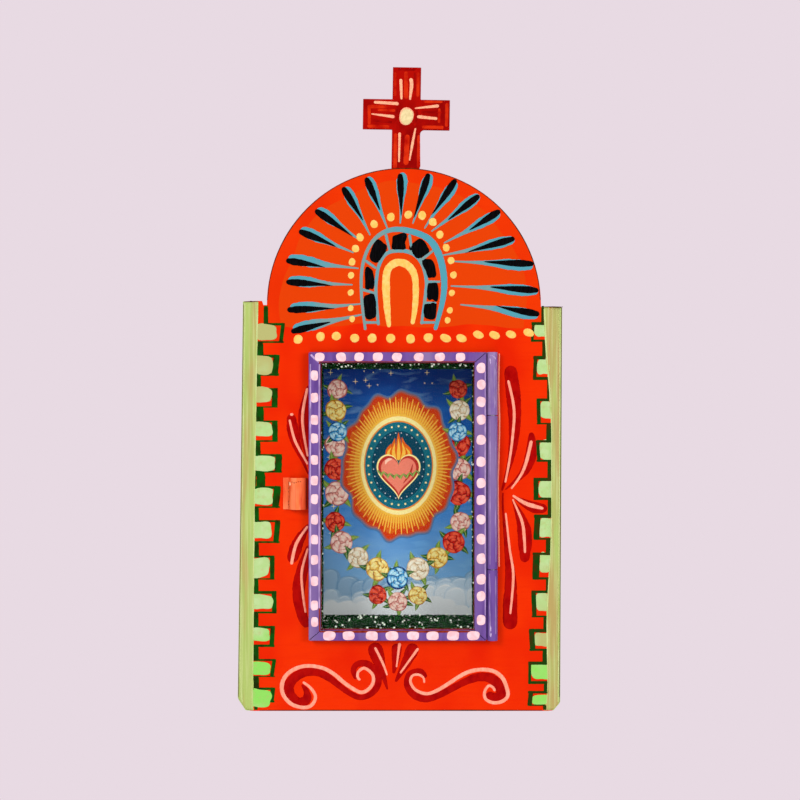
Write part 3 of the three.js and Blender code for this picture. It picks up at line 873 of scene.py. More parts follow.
def paint_key(key, side, boundary, dabs, lines):
    """The dabs along one band and the dark key line that runs in and out around them."""

    def line(start, end, widths, lift=0.1):
        lines.stroke([start, end], widths, lift, blunt=True)

    left = side < 0
    above = KEY_TOP
    for i, (tip, top, bottom, near, far, high, low, post) in enumerate(key):
        paint_dab(dabs, i, side, boundary, tip, top, bottom)
        bar = (1.1 if left else 1.35) + 0.25 * math.sin(1.7 * i)
        foot = boundary_at(boundary, (above + high) / 2) + side * KEY_GAP
        if left and i == 0:
            foot = FIRST_POST
        upright, width = (foot + post) / 2, abs(foot - post)
        line((upright, above), (upright, high - bar), [width, width * 1.1])
        line((foot, high - bar / 2), (far, high - bar / 2), [bar, bar], 0.11)
        slant = 0.35 * math.sin(1.3 * i + 1) + (0.25 if left else 0)
        block, width = (near + far) / 2, abs(near - far)
        line((block + slant, high), (block - slant, low), [width, width])
        thin = bar * (0.72 + 0.2 * math.sin(2.3 * i))
        after = boundary_at(boundary, low) + side * KEY_GAP
        line((far, low + thin / 2), (after, low + thin / 2), [thin, thin], 0.11)
        above = low + 0.3
    foot = (boundary_at(boundary, above) + side * KEY_GAP + key[-1][7]) / 2
    line((foot, above), (foot, plate_low.z / MM + 0.5), [1.7, 1.5])


def band_paint(name, khaki):
    """Pale green drawn down the flap in long strokes, going khaki in a share of its length."""
    finish = Finish(name, roughness=0.45)
    finish.set("Base Color", finish.layered(BAND_GREEN, [
        ((5, 10, 46), 0.62 - khaki, 0.8 - khaki, 1.0, 3, BAND_KHAKI),
        ((1.4, 2, 34), 0.5, 0.68, 0.45, 2, DEEP_BAND),
        ((0.9, 3, 30), 0.48, 0.66, 0.5, 3, BAND_LIGHT),
    ]))
    finish.bump(finish.clouds((0.5, 2, 24), detail=3), 0.06)
    return finish.material


def dab_paint(name, khaki, bright):
    """Pale green of the dabs, khaki between two heights and brighter between two others."""
    finish = Finish(name, roughness=0.4)
    patches = finish.patches((3.5, 3, 3.5), 0.4, 0.66, detail=2)
    wander = finish.patches((14, 14, 14), 0.3, 0.7, -0.012, 0.012, detail=2)
    level = finish.maths("ADD", finish.along("Z"), wander)
    colour = finish.mix(finish.product(patches, 0.5), DAB_GREEN, DAB_LIGHT)
    for (low, high), tint in ((khaki, DAB_KHAKI), (bright, DAB_BRIGHT)):
        above = finish.spread(level, (low - 8) * MM, (low + 8) * MM)
        below = finish.spread(level, (high - 8) * MM, (high + 8) * MM, 1.0, 0.0)
        colour = finish.mix(finish.product(above, below), colour, tint)
    flush = finish.patches((2.2, 3, 2.2), 0.56, 0.7, 0.0, 0.4, detail=3)
    finish.set("Base Color", finish.mix(flush, colour, DAB_KHAKI))
    finish.bump(finish.clouds((3, 2, 0.5), detail=3), 0.07)
    return finish.material


def paint_bands():
    """The two green bands, the painted highlights along their folds, and each one's dabs and key line.
    """
    band(-1, LEFT_BOUNDARY, 84.5, 0.17).build("band_left", band_paint("left_band_paint", 0.14))
    band(1, RIGHT_BOUNDARY, 82.0, 0.08).build("band_right", band_paint("right_band_paint", 0.27))
    # Painted highlights: pale lines along each band's inner boundary and along its outer bend
    light = Brush(plate)
    for side, boundary, top in ((-1, LEFT_BOUNDARY, 84.0), (1, RIGHT_BOUNDARY, 81.5)):
        heights = [top - i * (top + 90) / 14 for i in range(15)]
        ridge = [(boundary_at(boundary, z) + side * 0.4, z) for z in heights]
        light.stroke(ridge, [0.8, 0.6, 0.45, 0.6, 0.4], HIGHLIGHT_LIFTS[side])
        crease = [(edge_at(side, z) - side * 0.75, z) for z in heights]
        light.stroke(crease, [0.45, 0.55, 0.4, 0.55], HIGHLIGHT_LIFTS[side])
    light.build("band_highlights", paint("band_highlight_paint", BAND_LIGHT, BAND_GREEN, (1, 2, 9), 0.35))
    sides = [
        ("left", LEFT_KEY, -1, LEFT_BOUNDARY, (44, 90), (-100, -62), KEY_GREEN, DEEP_KEY_GREEN),
        ("right", RIGHT_KEY, 1, RIGHT_BOUNDARY, (-66, -40), (-100, -72), DARK_KEY, KEY_BROWN),
    ]
    for name, key, side, boundary, khaki, bright, line_colour, line_shade in sides:
        dabs, lines = Brush(plate), Brush(plate)
        paint_key(key, side, boundary, dabs, lines)
        dabs.build(f"dabs_{name}", dab_paint(f"{name}_dab_paint", khaki, bright))
        dark = paint(f"{name}_key_paint", line_colour, line_shade, (2.5, 2, 4), 0.36)
        lines.build(f"key_{name}", dark)


# The arch's radius and the window's corner, both where the painted shade line of the edges runs
EDGE_RADIUS = 59.35
WINDOW_CORNER = (33.4, 57.8)


def shade_edges():
    """Painted shade: a thin dark line along the face plate's cut edges, round the window and along the
    tops of the bands.
    """
    edge = Brush(plate)
    bottom = plate_low.z / MM + 0.3
    arch = [polar(angle, EDGE_RADIUS) for angle in range(2, 179, 8)]
    edge.stroke(arch, [0.3, 0.45, 0.3, 0.4, 0.3, 0.45, 0.3], 0.05)
    foot = [(-60, bottom), (0, bottom), (63, bottom)]
    edge.stroke(foot, [0.3, 0.45, 0.35, 0.5, 0.3], 0.05)
    for side, top in ((-1, 83.5), (1, 82.5)):
        heights = [top - i * (top + 88) / 12 for i in range(13)]
        line = [(edge_at(side, z) - side * 0.1, z) for z in heights]
        edge.stroke(line, [0.3, 0.36, 0.3, 0.36], SHADE_LINE_LIFTS[side])
    for side, boundary, top in ((-1, LEFT_BOUNDARY, 84.55), (1, RIGHT_BOUNDARY, 82.15)):
        ends = (edge_at(side, top), boundary_at(boundary, top))
        line = [(ends[0] + (ends[1] - ends[0]) * share, top) for share in (0.05, 0.5, 0.97)]
        edge.stroke(line, [0.3, 0.5, 0.35], 0.2)
    x, z = WINDOW_CORNER
    low, high = Vector((-x, -z)), Vector((x, z))
    sides = [(low, (-x, z)), (low, (x, -z)), (high, (-x, z)), (high, (x, -z))]
    for start, end in sides:
        middle = start.lerp(Vector(end), 0.5)
        edge.stroke([start, middle, end], [0.4, 0.45, 0.4], 0.05)
    edge.build("edge_shade", paint("edge_shade_paint", rgb(92, 34, 10), rgb(50, 30, 12), (2, 2, 2), 0.5))


# Leaf strokes: the red body and its widths, then the pink line on it and its widths
LEAVES = [
    ([(-46.4, 35.6), (-44.6, 24.3), (-38.8, 9.4)], [3.6, 5.2, 4.0, 1.6, 0.6],
     [(-47.0, 33.2), (-44.5, 23.8), (-39.0, 13.7)], [1.0, 1.2, 0.9]),
    ([(-38.6, 48.0), (-40.6, 37.8), (-40.6, 28.7), (-38.6, 15.0)], [1.4, 4.6, 4.6, 2.0],
     [(-39.2, 46.9), (-41.2, 36.1), (-40.9, 28.0), (-39.0, 17.1)], [1.1, 1.3, 1.2, 0.9]),
    ([(-38.4, -12.4), (-43.0, -19.6), (-46.4, -29.0)], [1.6, 4.0, 5.4, 4.4],
     [(-39.0, -13.1), (-44.0, -20.8), (-46.2, -29.8)], [1.0, 1.4, 1.4]),
    ([(-38.6, -21.6), (-43.0, -40.0), (-41.4, -52.2), (-38.6, -56.8)], [1.8, 5.0, 5.6, 4.8, 3.6],
     [(-39.0, -22.8), (-41.6, -32.8), (-41.3, -41.4), (-40.0, -50.8)], [0.9, 1.2, 1.1, 0.9]),
    ([(48.9, 56.6), (50.3, 43.9), (50.9, 34.8), (50.6, 25.6), (49.1, 15.5), (45.4, 2.3)],
     [5.4, 6.4, 5.6, 4.2, 2.2, 0.9],
     [(48.1, 50.3), (50.6, 37.8), (50.0, 25.6), (48.5, 14.6), (46.8, 5.8)], [1.1, 1.3, 1.1, 0.9]),
    ([(58.2, 27.6), (58.0, 18.0), (54.6, 10.0), (46.8, 2.7)], [2.0, 4.4, 5.0, 3.8, 1.6, 0.5],
     [(58.2, 24.1), (56.1, 15.2), (53.7, 9.2), (49.4, 3.1)], [1.4, 1.5, 1.2, 0.8]),
    ([(45.8, 1.4), (46.0, -8.1), (49.0, -33.9), (48.9, -48.3), (49.0, -58.0)],
     [0.7, 1.1, 2.8, 4.4, 6.2, 6.4],
     [(47.0, -7.4), (48.7, -22.8), (50.3, -34.8), (49.0, -51.4)], [0.8, 1.0, 1.2, 0.9]),
    ([(50.0, -1.6), (54.9, -14.1), (55.3, -28.8)], [0.8, 3.6, 6.2, 6.0, 3.4],
     [(50.0, -1.4), (54.0, -10.8), (55.0, -17.4), (55.4, -24.8)], [0.7, 1.2, 1.4, 1.0]),
    ([(50.2, -0.2), (58.3, -4.6), (65.0, -5.6)], [0.8, 3.4, 5.0, 3.6],
     [(50.0, 0.2), (56.0, -3.4), (63.4, -5.5)], [0.9, 1.6, 1.9, 1.2]),
    ([(-10.6, -64.0), (-7.4, -74.0), (-4.4, -84.2)], [7.6, 5.8, 2.6, 0.7],
     [(-9.9, -65.8), (-6.5, -72.6), (-4.5, -78.0)], [1.1, 1.2, 0.7]),
    ([(-0.2, -64.2), (-0.8, -71.3), (-1.8, -77.2)], [4.8, 3.6, 1.0],
     [(0.9, -63.9), (-0.5, -74.5)], [1.4, 0.6]),
    ([(7.6, -64.4), (3.7, -72.6), (-0.9, -80.8)], [6.4, 4.2, 1.0],
     [(9.0, -66.2), (1.1, -77.1)], [1.2, 0.8]),
]
LONG_PINK = [(44.2, 61.9), (43.9, 46.9), (44.3, 31.1), (43.9, 13.5), (43.7, 2.6), (44.1, -30.8)]

# Scrolls under the door, from their outer spiral to their inner hook
LEFT_SCROLL_RED = [
    (-41.6, -82.0), (-39.6, -85.0), (-39.6, -88.4), (-43.0, -90.0), (-46.6, -87.2), (-47.4, -83.2),
    (-45.2, -79.4), (-40.6, -76.8),
    (-35.0, -76.6), (-30.0, -79.0), (-25.3, -82.6), (-20.8, -85.8), (-16.3, -87.6),
    (-11.4, -86.0), (-8.4, -81.6), (-9.4, -76.6), (-13.3, -73.0), (-17.6, -73.2),
    (-19.2, -76.0), (-17.8, -79.6),
]
LEFT_SCROLL_PINK = [
    (-41.2, -80.9), (-37.8, -83.5), (-35.7, -87.3), (-37.4, -91.0), (-41.2, -92.0),
    (-46.4, -90.3), (-49.8, -86.2), (-50.2, -81.6), (-48.0, -77.5), (-43.4, -74.7),
    (-38.1, -73.9), (-32.1, -75.0), (-27.6, -77.5), (-23.1, -81.3), (-18.6, -84.3),
    (-15.5, -85.4), (-12.5, -83.9), (-10.6, -80.9), (-11.0, -77.5), (-14.4, -74.9),
    (-17.0, -76.4), (-17.4, -78.6), (-16.3, -80.2),
]
RIGHT_SCROLL_RED = [
    (12.4, -79.0), (10.0, -76.2), (5.4, -77.5), (4.4, -82.4), (7.3, -86.6), (12.4, -88.2),
    (18.4, -86.4), (24.4, -83.3), (29.7, -80.6), (35.0, -78.8), (40.2, -79.2),
    (44.0, -82.2), (45.2, -85.6), (43.6, -87.6), (40.8, -87.6), (39.6, -85.2),
]
RIGHT_SCROLL_PINK = [
    (11.6, -81.3), (11.2, -79.0), (9.0, -77.7), (6.4, -78.2), (5.6, -80.9), (7.8, -84.3),
    (12.4, -86.0), (16.9, -84.7), (22.1, -81.6), (26.7, -78.6), (31.2, -76.4), (36.4, -75.5),
    (41.7, -76.2), (45.5, -79.0), (47.4, -83.2), (47.9, -86.9), (45.5, -89.3),
    (41.7, -89.9), (38.4, -88.4), (37.8, -85.4), (39.5, -82.6), (41.4, -83.2), (42.4, -84.9),
]


def paint_leaves():
    """Leaf strokes beside and under the door, and the two scrolls."""
    red, pink = Brush(plate), Brush(plate)
    for body, body_widths, line, line_widths in LEAVES:
        red.stroke(body, body_widths, 0.1)
        pink.stroke(line, line_widths, 0.22)
    pink.stroke(LONG_PINK, [0.6, 0.7, 0.6, 0.7], 0.16)
    pink.dab(rounded(-46.0, 35.4, 1.5, 1.2), 0.25)
    swell = [1.0, 4.2, 5.0, 4.4, 3.8, 3.4, 2.6, 2.4, 2.4, 2.8, 3.2, 2.6, 2.0]
    red.stroke(LEFT_SCROLL_RED, swell, 0.1)
    pink.stroke(LEFT_SCROLL_PINK, [1.1, 1.6, 1.8, 1.6, 1.7, 1.5, 1.1], 0.2)
    red.stroke(RIGHT_SCROLL_RED, [1.8, 3.0, 3.2, 2.8, 3.0, 3.8, 4.6, 4.4], 0.1)
    pink.stroke(RIGHT_SCROLL_PINK, [0.9, 1.3, 1.6, 1.7, 1.7, 1.5, 1.1], 0.2)
    red.build("leaves_red", paint("leaf_paint", LEAF_RED, DEEP_LEAF_RED, (3, 2, 4), 0.36))
    pink.build("leaves_pink", paint("pink_paint", PINK, PALE_PINK, (1.2, 2, 2.5), 0.4))


# Strokes on the cross: points and widths
CROSS_STRIPES = [
    ([(-12.6, 169.4), (-3.4, 169.2)], [1.6, 1.2]), ([(-13.2, 160.9), (-3.6, 160.5)], [1.4, 1.6]),
    ([(-12.4, 170.2), (-12.3, 161.6)], [1.5, 1.3]), ([(18.2, 168.6), (18.0, 162.2)], [1.0, 1.1]),
    ([(21.5, 170.9), (21.2, 160.6)], [1.5, 1.3]), ([(3.7, 184.6), (3.7, 172.8)], [1.6, 2.0]),
    ([(9.0, 184.4), (8.8, 173.6)], [1.1, 1.4]), ([(-1.0, 184.4), (-1.1, 174)], [1.0, 1.2]),
    ([(11.4, 171.5), (19.6, 171.4)], [1.0, 0.9]), ([(10.6, 160.5), (20.0, 160.3)], [1.3, 1.4]),
    ([(-0.9, 157.8), (-1.1, 142.4)], [1.4, 1.7]), ([(4.3, 157.2), (3.6, 144)], [2.0, 2.4]),
    ([(9.2, 157.0), (9.1, 142.6)], [1.2, 1.6]), ([(-8.6, 167.9), (-1.0, 167.7)], [0.9, 1.2]),
]
CROSS_SHADES = [
    ([(-11.0, 163.4), (-2.4, 162.6)], [0.8, 1.2]), ([(10.4, 167.0), (19.2, 166.8)], [1.1, 0.8]),
    ([(7.4, 184.2), (7.4, 176.0)], [0.9, 0.7]), ([(0.2, 185.6), (7.8, 185.4)], [1.2, 1.0]),
    ([(2.4, 157.0), (2.0, 143.6)], [0.8, 1.0]), ([(-1.6, 141.4), (8.6, 141.4)], [1.0, 1.2]),
    ([(0.0, 168.9), (-0.6, 165.0), (0.6, 161.2)], [0.9, 1.3, 0.9]),
    ([(7.7, 169.0), (8.5, 165.0), (7.3, 161.0)], [0.9, 1.3, 0.9]),
]
CROSS_LINES = [
    ([(1.4, 181.4), (1.7, 172.5)], [1.4, 1.0]),
    ([(5.6, 181.7), (6.1, 179.1), (5.4, 172.3)], [1.7, 1.4, 0.8]),
    ([(-10.3, 171.3), (0.5, 170.6)], [1.2, 1.4]), ([(-11.4, 166.2), (-1.3, 164.9)], [0.5, 1.5]),
    ([(7.5, 168.6), (18.0, 169.7)], [0.6, 1.4]), ([(8.5, 165.0), (17.3, 164.1)], [1.4, 1.2]),
    ([(0.9, 158.1), (0.6, 145.2)], [1.2, 0.7]),
    ([(7.8, 160.0), (6.5, 153.4), (5.2, 145.9)], [0.7, 1.2, 0.6]),
]
# The middle of the cross
CROSS_X = 3.9
CROSS_Z = 165.1


def paint_cross():
    """Streaks in two reds over the cross, peach lines towards its middle and a cream oval there."""
    front = Surface("cross")
    layers = [
        ("cross_stripes", "stripe_paint", CROSS_STRIPES, 0.07, CROSS_STRIPE, CROSS_RED, (6, 3, 6)),
        ("cross_shades", "shade_paint", CROSS_SHADES, 0.08, DEEP_CROSS_RED, CROSS_RED, (5, 3, 5)),
        ("cross_peach", "peach_paint", CROSS_LINES, 0.2, PEACH, PINK, (1.2, 2, 1.2)),
    ]
    for name, finish, lines, lift, colour, shade, streak in layers:
        strokes = Brush(front)
        for line, widths in lines:
            strokes.stroke(line, widths, lift)
        if name == "cross_peach":
            strokes.dab(rounded(CROSS_X, CROSS_Z, 6.1, 7.7, 2.2, -8), 0.16)
        strokes.build(name, paint(finish, colour, shade, streak, 0.38))
    cream = Brush(front)
    cream.dab(rounded(CROSS_X, CROSS_Z, 5.5, 7.1, 2.1, -8), 0.3)
    cream.build("cross_oval", paint("cream_paint", CREAM, PALE_CREAM, (1.6, 2, 1.6), 0.36))


# Dots on the door's frame: where they are along each bar
TOP_DOTS = [-33.5, -24.3, -16.7, -8.5, -0.2, 9.2, 18.4, 27.1]
BOTTOM_DOTS = [-29.5, -21.1, -11.0, -2.5, 6.7, 15.2, 24.0, 32.7]
HINGE_DOTS = [
    55.5, 48.4, 40.9, 33.1, 24.4, 15.1, 5.8, -1.5, -9.9, -18.5, -26.8, -35.8, -43.1, -53.3,
]
LATCH_DOTS = [52.3, 42.7, 33.1, 25.1, 15.8, 6.9, -1.2, -9.9, -18.6, -27.4, -36.5, -47.1, -54.2]
# The channels of the door's frame
BARS = ("door_latch_stile", "door_hinge_stile", "door_bottom_rail", "door_top_rail")


def bar_middle(node, axis):
    """The middle of a bar across its length, in mm."""
    low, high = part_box(node)
    return (low[axis] + high[axis]) / 2 / MM


def dot_door(bars):
    """Pink dots round the door's frame, each bar's a little different."""
    top, bottom = bar_middle("door_top_rail", 2), bar_middle("door_bottom_rail", 2)
    latch, hinge = bar_middle("door_latch_stile", 0), bar_middle("door_hinge_stile", 0)
    places = [(x, top + 0.1, 4.3, 3.7, 2.6, 0.08) for x in TOP_DOTS]
    places += [(x, bottom, 5.2, 3.8, 3.2, 0.08) for x in BOTTOM_DOTS]
    places += [(hinge + 0.2, z, 3.9, 4.4, 2.5, 0.08) for z in HINGE_DOTS]
    places += [(latch, z, 3.1, 4.2, 4.0, 0.06) for z in LATCH_DOTS]
    dots = Brush(bars)
    for x, z, width, height, squareness, uneven in places:
        dots.dab(rounded(x, z, width, height, squareness, 0, uneven), 0.18)
    pink = paint("door_dot_paint", DOOR_PINK, DOOR_ROSE, (2.2, 2, 2.2), 0.38)
    dots.build("door_dots", pink, "door", "purple_paint")


def wear_and_highlight_door(bars):
    """Pale lines on the outer edges of the door: rubbed paint, and painted highlights along the edges.
    """
    worn_highlights = Brush(bars)
    low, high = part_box("door_latch_stile")
    left, right, top = low.x / MM, high.x / MM, high.z / MM
    for x in (left + 0.75, right - 0.45):
        line = [(x, top - 5 - i * 9.6) for i in range(12)]
        worn_highlights.stroke(line, [0.5, 0.8, 0.6, 0.7, 0.9, 0.6], 0.07)
    x, z = left + 0.9, top - 0.9
    worn_highlights.stroke([(x, z), (x + 3.6, z - 3.6)], [0.9, 0.8, 0.5], 0.06)
    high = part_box("door_hinge_stile")[1]
    line = [(high.x / MM - 0.6, high.z / MM - 8 - i * 9.6) for i in range(12)]
    worn_highlights.stroke(line, [0.3, 0.5, 0.4, 0.5, 0.3], 0.06)
    lavender = paint("edge_wear_highlight_paint", LAVENDER, GREY_PURPLE, (1, 2, 6), 0.42)
    worn_highlights.build("door_edge_wear_and_highlights", lavender, "door", "purple_paint")


def shade_door_inner_edges(bars):
    """Painted shade: red-brown lines along the inner edges of the door."""
    latch, hinge, bottom, top = (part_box(name) for name in BARS)
    left, right = latch[1].x / MM - 0.25, hinge[0].x / MM + 0.25
    low, high = bottom[1].z / MM - 0.25, top[0].z / MM + 0.25
    sides = [
        ((left - 0.15, low), (left - 0.15, high), 0.8),
        ((left, low - 0.15), (right, low - 0.15), 0.95),
        ((right, high), (left, high), 0.45),
    ]
    inner = Brush(bars)
    for start, end, width in sides:
        widths = [width * share for share in (0.7, 1.1, 0.8, 1.0, 0.7)]
        inner.stroke([start, Vector(start).lerp(Vector(end), 0.5), end], widths, 0.05)
    inner_shade = paint("inner_edge_shade_paint", rgb(146, 52, 34), rgb(110, 22, 10), (1, 2, 1.5), 0.5)
    inner.build("door_inner_edge_shade", inner_shade, "door", "purple_paint")


def paint_door():
    """The dots, the rubbed edges with painted highlights and the painted shade along the door's inner
    edges.
    """
    bars = Surface(*BARS)
    dot_door(bars)
    wear_and_highlight_door(bars)
    shade_door_inner_edges(bars)


# The crease along the catch
CREASE_X = -47.2


def mark_catch():
    """The catch's crease, where the paint is broken into dark specks, and a painted glint above it."""
    front = Surface("catch")
    specks = Brush(front)
    for i in range(17):
        x, z = CREASE_X + 0.16 * math.sin(3.1 * i), 6.0 - 0.7 * i
        size = 0.34 + 0.14 * math.sin(2.3 * i)
        specks.dab(rounded(x, z, size, size * 1.7, 2, 20 * math.sin(i), 0.1, 12), 0.05)
    for i in range(5):
        x, z = CREASE_X + 1.6 + 0.9 * i, 6.2 + 0.3 * math.sin(5 * i)
        specks.dab(rounded(x, z, 0.4, 0.5, count=12), 0.06)
    dark = paint("crease_paint", rgb(112, 34, 14), rgb(64, 18, 8), (0.6, 1, 0.6), 0.5)
    specks.build("catch_crease", dark, "catch", "catch_paint")
    # A painted glint: a pale dab on the curl above the crease
    glint = Brush(front)
    glint.dab(rounded(CREASE_X + 0.5, 5.4, 0.9, 1.5, 2, 12, 0.12, 16), 0.07)
    pale = paint("catch_glint_paint", rgb(255, 226, 200), rgb(250, 180, 130), (0.6, 1, 0.6), 0.3)
    glint.build("catch_glint", pale, "catch", "catch_paint")


# Knuckles of the hinge, the body that each rides on and the places of its painted highlight streaks
# across the barrel
KNUCKLES = [
    ("door", [("upper_knuckle", (-1.35, 0.95, 1.6)), ("lower_knuckle", (-1.2, 1.4))]),
    ("niche", [("middle_knuckle", (-1.2, 1.4))]),
]
BARREL_RADIUS = 2.3


def paint_barrel():
    """Painted highlights: pale upright streaks on the rolled knuckles of the hinge."""
    for body, knuckles in KNUCKLES:
        streaks = Brush(None)
        for name, places in knuckles:
            streaks.surface = Surface(name)
            low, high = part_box(name)
            barrel = high.x / MM - BARREL_RADIUS
            for number, across in enumerate(places):
                top, bottom = high.z / MM - 1.5 - number, low.z / MM + 2.0 + number
                heights = [top - (top - bottom) * i / 7 for i in range(8)]
                line = [(barrel + across + 0.12 * math.sin(7 * z + number), z) for z in heights]
                streaks.stroke(line, [0.2, 0.6, 0.25, 0.5, 0.7, 0.3], 0.03)
        paler_paint = paint(f"barrel_highlight_paint_{body}", GREY_PURPLE, rgb(164, 140, 186), (1, 2, 5), 0.4)
        streaks.build(f"barrel_highlights_{body}", paler_paint, body, "purple_paint")


# Painted glints on the hinge side of the door: pale marks, as points and widths
BARREL_GLINTS = [
    ([(40.3, 61.0), (41.6, 60.5), (42.4, 59.3)], [0.3, 0.5, 0.25]),
    ([(39.9, 59.6), (40.2, 57.4)], [0.25, 0.45, 0.2]),
    ([(42.6, 58.4), (42.7, 55.2)], [0.2, 0.4, 0.2]),
    ([(40.1, -55.4), (40.3, -58.2)], [0.2, 0.4, 0.25]),
    ([(40.4, -59.0), (40.2, -60.6)], [0.3, 0.45, 0.3]),
]


def glint_barrel():
    """Painted glints: pale marks at the two ends of the barrel."""
    front = Surface("upper_knuckle", "lower_knuckle")
    fine_marks = Brush(front)
    for line, widths in BARREL_GLINTS:
        fine_marks.stroke(line, widths, 0.02)
    pale = paint("barrel_glint_paint", rgb(226, 208, 230), rgb(196, 172, 208), (0.8, 1, 1.2), 0.4)
    fine_marks.build("barrel_glints", pale, "door", "purple_paint")


def whole_shape(name, bevel):
    """A CAD node's shape with whole flat faces and its cut edges broken by a small round."""
    work = bmesh.new()
    work.from_mesh(nodes[name].data)
    bmesh.ops.remove_doubles(work, verts=work.verts, dist=0.002 * MM)
    bmesh.ops.dissolve_limit(work, angle_limit=math.radians(0.5), verts=work.verts, edges=work.edges)
    sharp = [e for e in work.edges if e.is_manifold and e.calc_face_angle() > math.radians(32)]
    bmesh.ops.bevel(
        work, geom=sharp, offset=bevel * MM, offset_type="OFFSET", segments=2, profile=0.5,
        affect="EDGES", clamp_overlap=True,
    )
    mesh = bpy.data.meshes.new(f"{name}_skin")
    work.to_mesh(mesh)
    work.free()
    return mesh


# How far a face may turn from the back or the front and still count as rear or face
REAR_FACING = 0.3
FRONT_FACING = -0.9


def dress(name, material, body="niche", bevel=0.1, rear=None, rim=None):
    """The finished form of a CAD node, edges eased and painted. Its rear or its rim may differ."""
    mesh = whole_shape(name, bevel)
    for finish in (material, rear or material, rim or material):
        mesh.materials.append(finish)
    for polygon in mesh.polygons:
        polygon.use_smooth = name != "glass_pane"
        if rear and polygon.normal.y > REAR_FACING:
            polygon.material_index = 1
        elif rim and polygon.normal.y > FRONT_FACING:
            polygon.material_index = 2
    piece = add_object(f"{name}_skin", mesh)
    flatten = piece.modifiers.new("flatten", "WEIGHTED_NORMAL")
    flatten.weight = 100
    flatten.keep_sharp = True
    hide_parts(name)
    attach(piece, body)


def dress_solids():
    """Each CAD node in its own material."""
    tin = bare_tin()
    dress("face_plate", plate_paint(), rear=tin)
    red = paint("cross_paint", CROSS_RED, DEEP_CROSS_RED, (7, 4, 14), 0.38)
    # The cross's dark red-brown rim: the cut edge's own colour, with painted shade on its sides
    dark = paint("cross_rim_paint", rgb(70, 14, 8), rgb(44, 10, 6), (2, 2, 2), 0.5)
    dress("cross", red, bevel=0.22, rear=tin, rim=dark)
    for name in ("box_wrap", "box_top_cap", "box_bottom_cap", "hanger_tab"):
        dress(name, tin)
    purple = paint("purple_paint", PURPLE, DEEP_PURPLE, (2.5, 3, 14), 0.4, GREY_PURPLE)
    for name in BARS:
        dress(name, purple, "door", 0.18)
    dress("lower_knuckle", purple, "door")
    # The upper knuckle is in a paler, glossier purple than the other knuckles
    pale = rgb(158, 130, 180)
    paler_paint = paint("pale_purple_paint", GREY_PURPLE, PURPLE, (1.4, 2, 9), 0.34, pale, 0.25)
    dress("upper_knuckle", paler_paint, "door")
    dress("middle_knuckle", purple)
    dress("hinge_pin", wire_steel(), bevel=0.2)
    dress("catch", catch_paint(), "catch", 0.12)
    dress("glass_pane", glass(), "door")


def uneven_point(low, high, shares, roughness, uneven, seed):
    """A point at some shares of a box's three lengths, pushed in by noise if it is on a side."""
    point = Vector([low[i] + (high[i] - low[i]) * shares[i] for i in range(3)])
    for i in range(3):
        if shares[i] in (0, 1):
            inwards = 1 if shares[i] == 0 else -1
            grain = noise.fractal(point * (1 / roughness) + Vector((seed, 0, i)), 0.6, 2.2, 3)
            point[i] += inwards * uneven * (0.5 + 0.5 * max(-1, min(1, grain)))
    return point


def lumpy_box(low, high, cell, roughness, uneven, seed):
    """A closed box of small cells, its sides pushed in and out by noise. Lengths are in metres."""
    counts = [max(1, round((high[i] - low[i]) / cell)) for i in range(3)]
    index = {}
    points = []
    faces = []

    def corner(cells):
        if cells not in index:
            index[cells] = len(points)
            shares = [cells[i] / counts[i] for i in range(3)]
            points.append(uneven_point(low, high, shares, roughness, uneven, seed))
        return index[cells]

    for axis in range(3):
        u, v = (axis + 1) % 3, (axis + 2) % 3
        for end in (0, counts[axis]):
            for i in range(counts[u]):
                for j in range(counts[v]):
                    quad = []
                    for du, dv in ((0, 0), (1, 0), (1, 1), (0, 1)):
                        cells = [0, 0, 0]
                        cells[axis], cells[u], cells[v] = end, i + du, j + dv
                        quad.append(corner(tuple(cells)))
                    faces.append(quad if end else quad[::-1])
    return points, faces


# Glitter: the flakes' sizes in mm, the share of them in the darker green, and how far they stay from
# the edges of a pad and may stand out of it
FLAKE_RADIUS = 0.3
SPARKLE_RADIUS = 0.45
FLAKE_THICKNESS = 0.04
DARK_SHARE = 0.74
EDGE_ROOM = 0.32
FLAKE_RISE = 0.12
REACH_INTO_RECESS = 0.8
# Flakes for each square mm of a pad's front
FRONT_FLAKES = 3.2
# The glue's cells and lumps, in mm
GLUE_CELL = 0.9
GLUE_LUMP = 1.6
# Pads: the way each one faces, its flakes, and the share of them that are white painted glints there
# and on its front
PADS = [
    ("glitter_floor", Vector((0, 0, 1)), 5200, 0.011, 0.05),
    ("glitter_ceiling", Vector((0, 0, -1)), 4600, 0.003, 0.11),
    ("glitter_left", Vector((1, 0, 0)), 3400, 0.006, 0.02),
    ("glitter_right", Vector((-1, 0, 0)), 3400, 0.006, 0.02),
]
FRONT = Vector((0, -1, 0))
# Places of the glue and of the flakes in a coat's list of materials
GLUE, DARK, GREEN, BRIGHT = range(4)
GLITTER_SEED = 5


def add_flake(gathered, place, facing, radius):
    """A thin hexagon."""
    facing.normalize()
    side = facing.orthogonal().normalized()
    up = facing.cross(side)
    half = FLAKE_THICKNESS * MM / 2
    turns = [math.pi * k / 3 for k in range(6)]
    rings = []
    for level in (-half, half):
        middle = place + facing * level
        rings.append([middle + (side * math.cos(t) + up * math.sin(t)) * radius for t in turns])
    gathered.loft(rings)


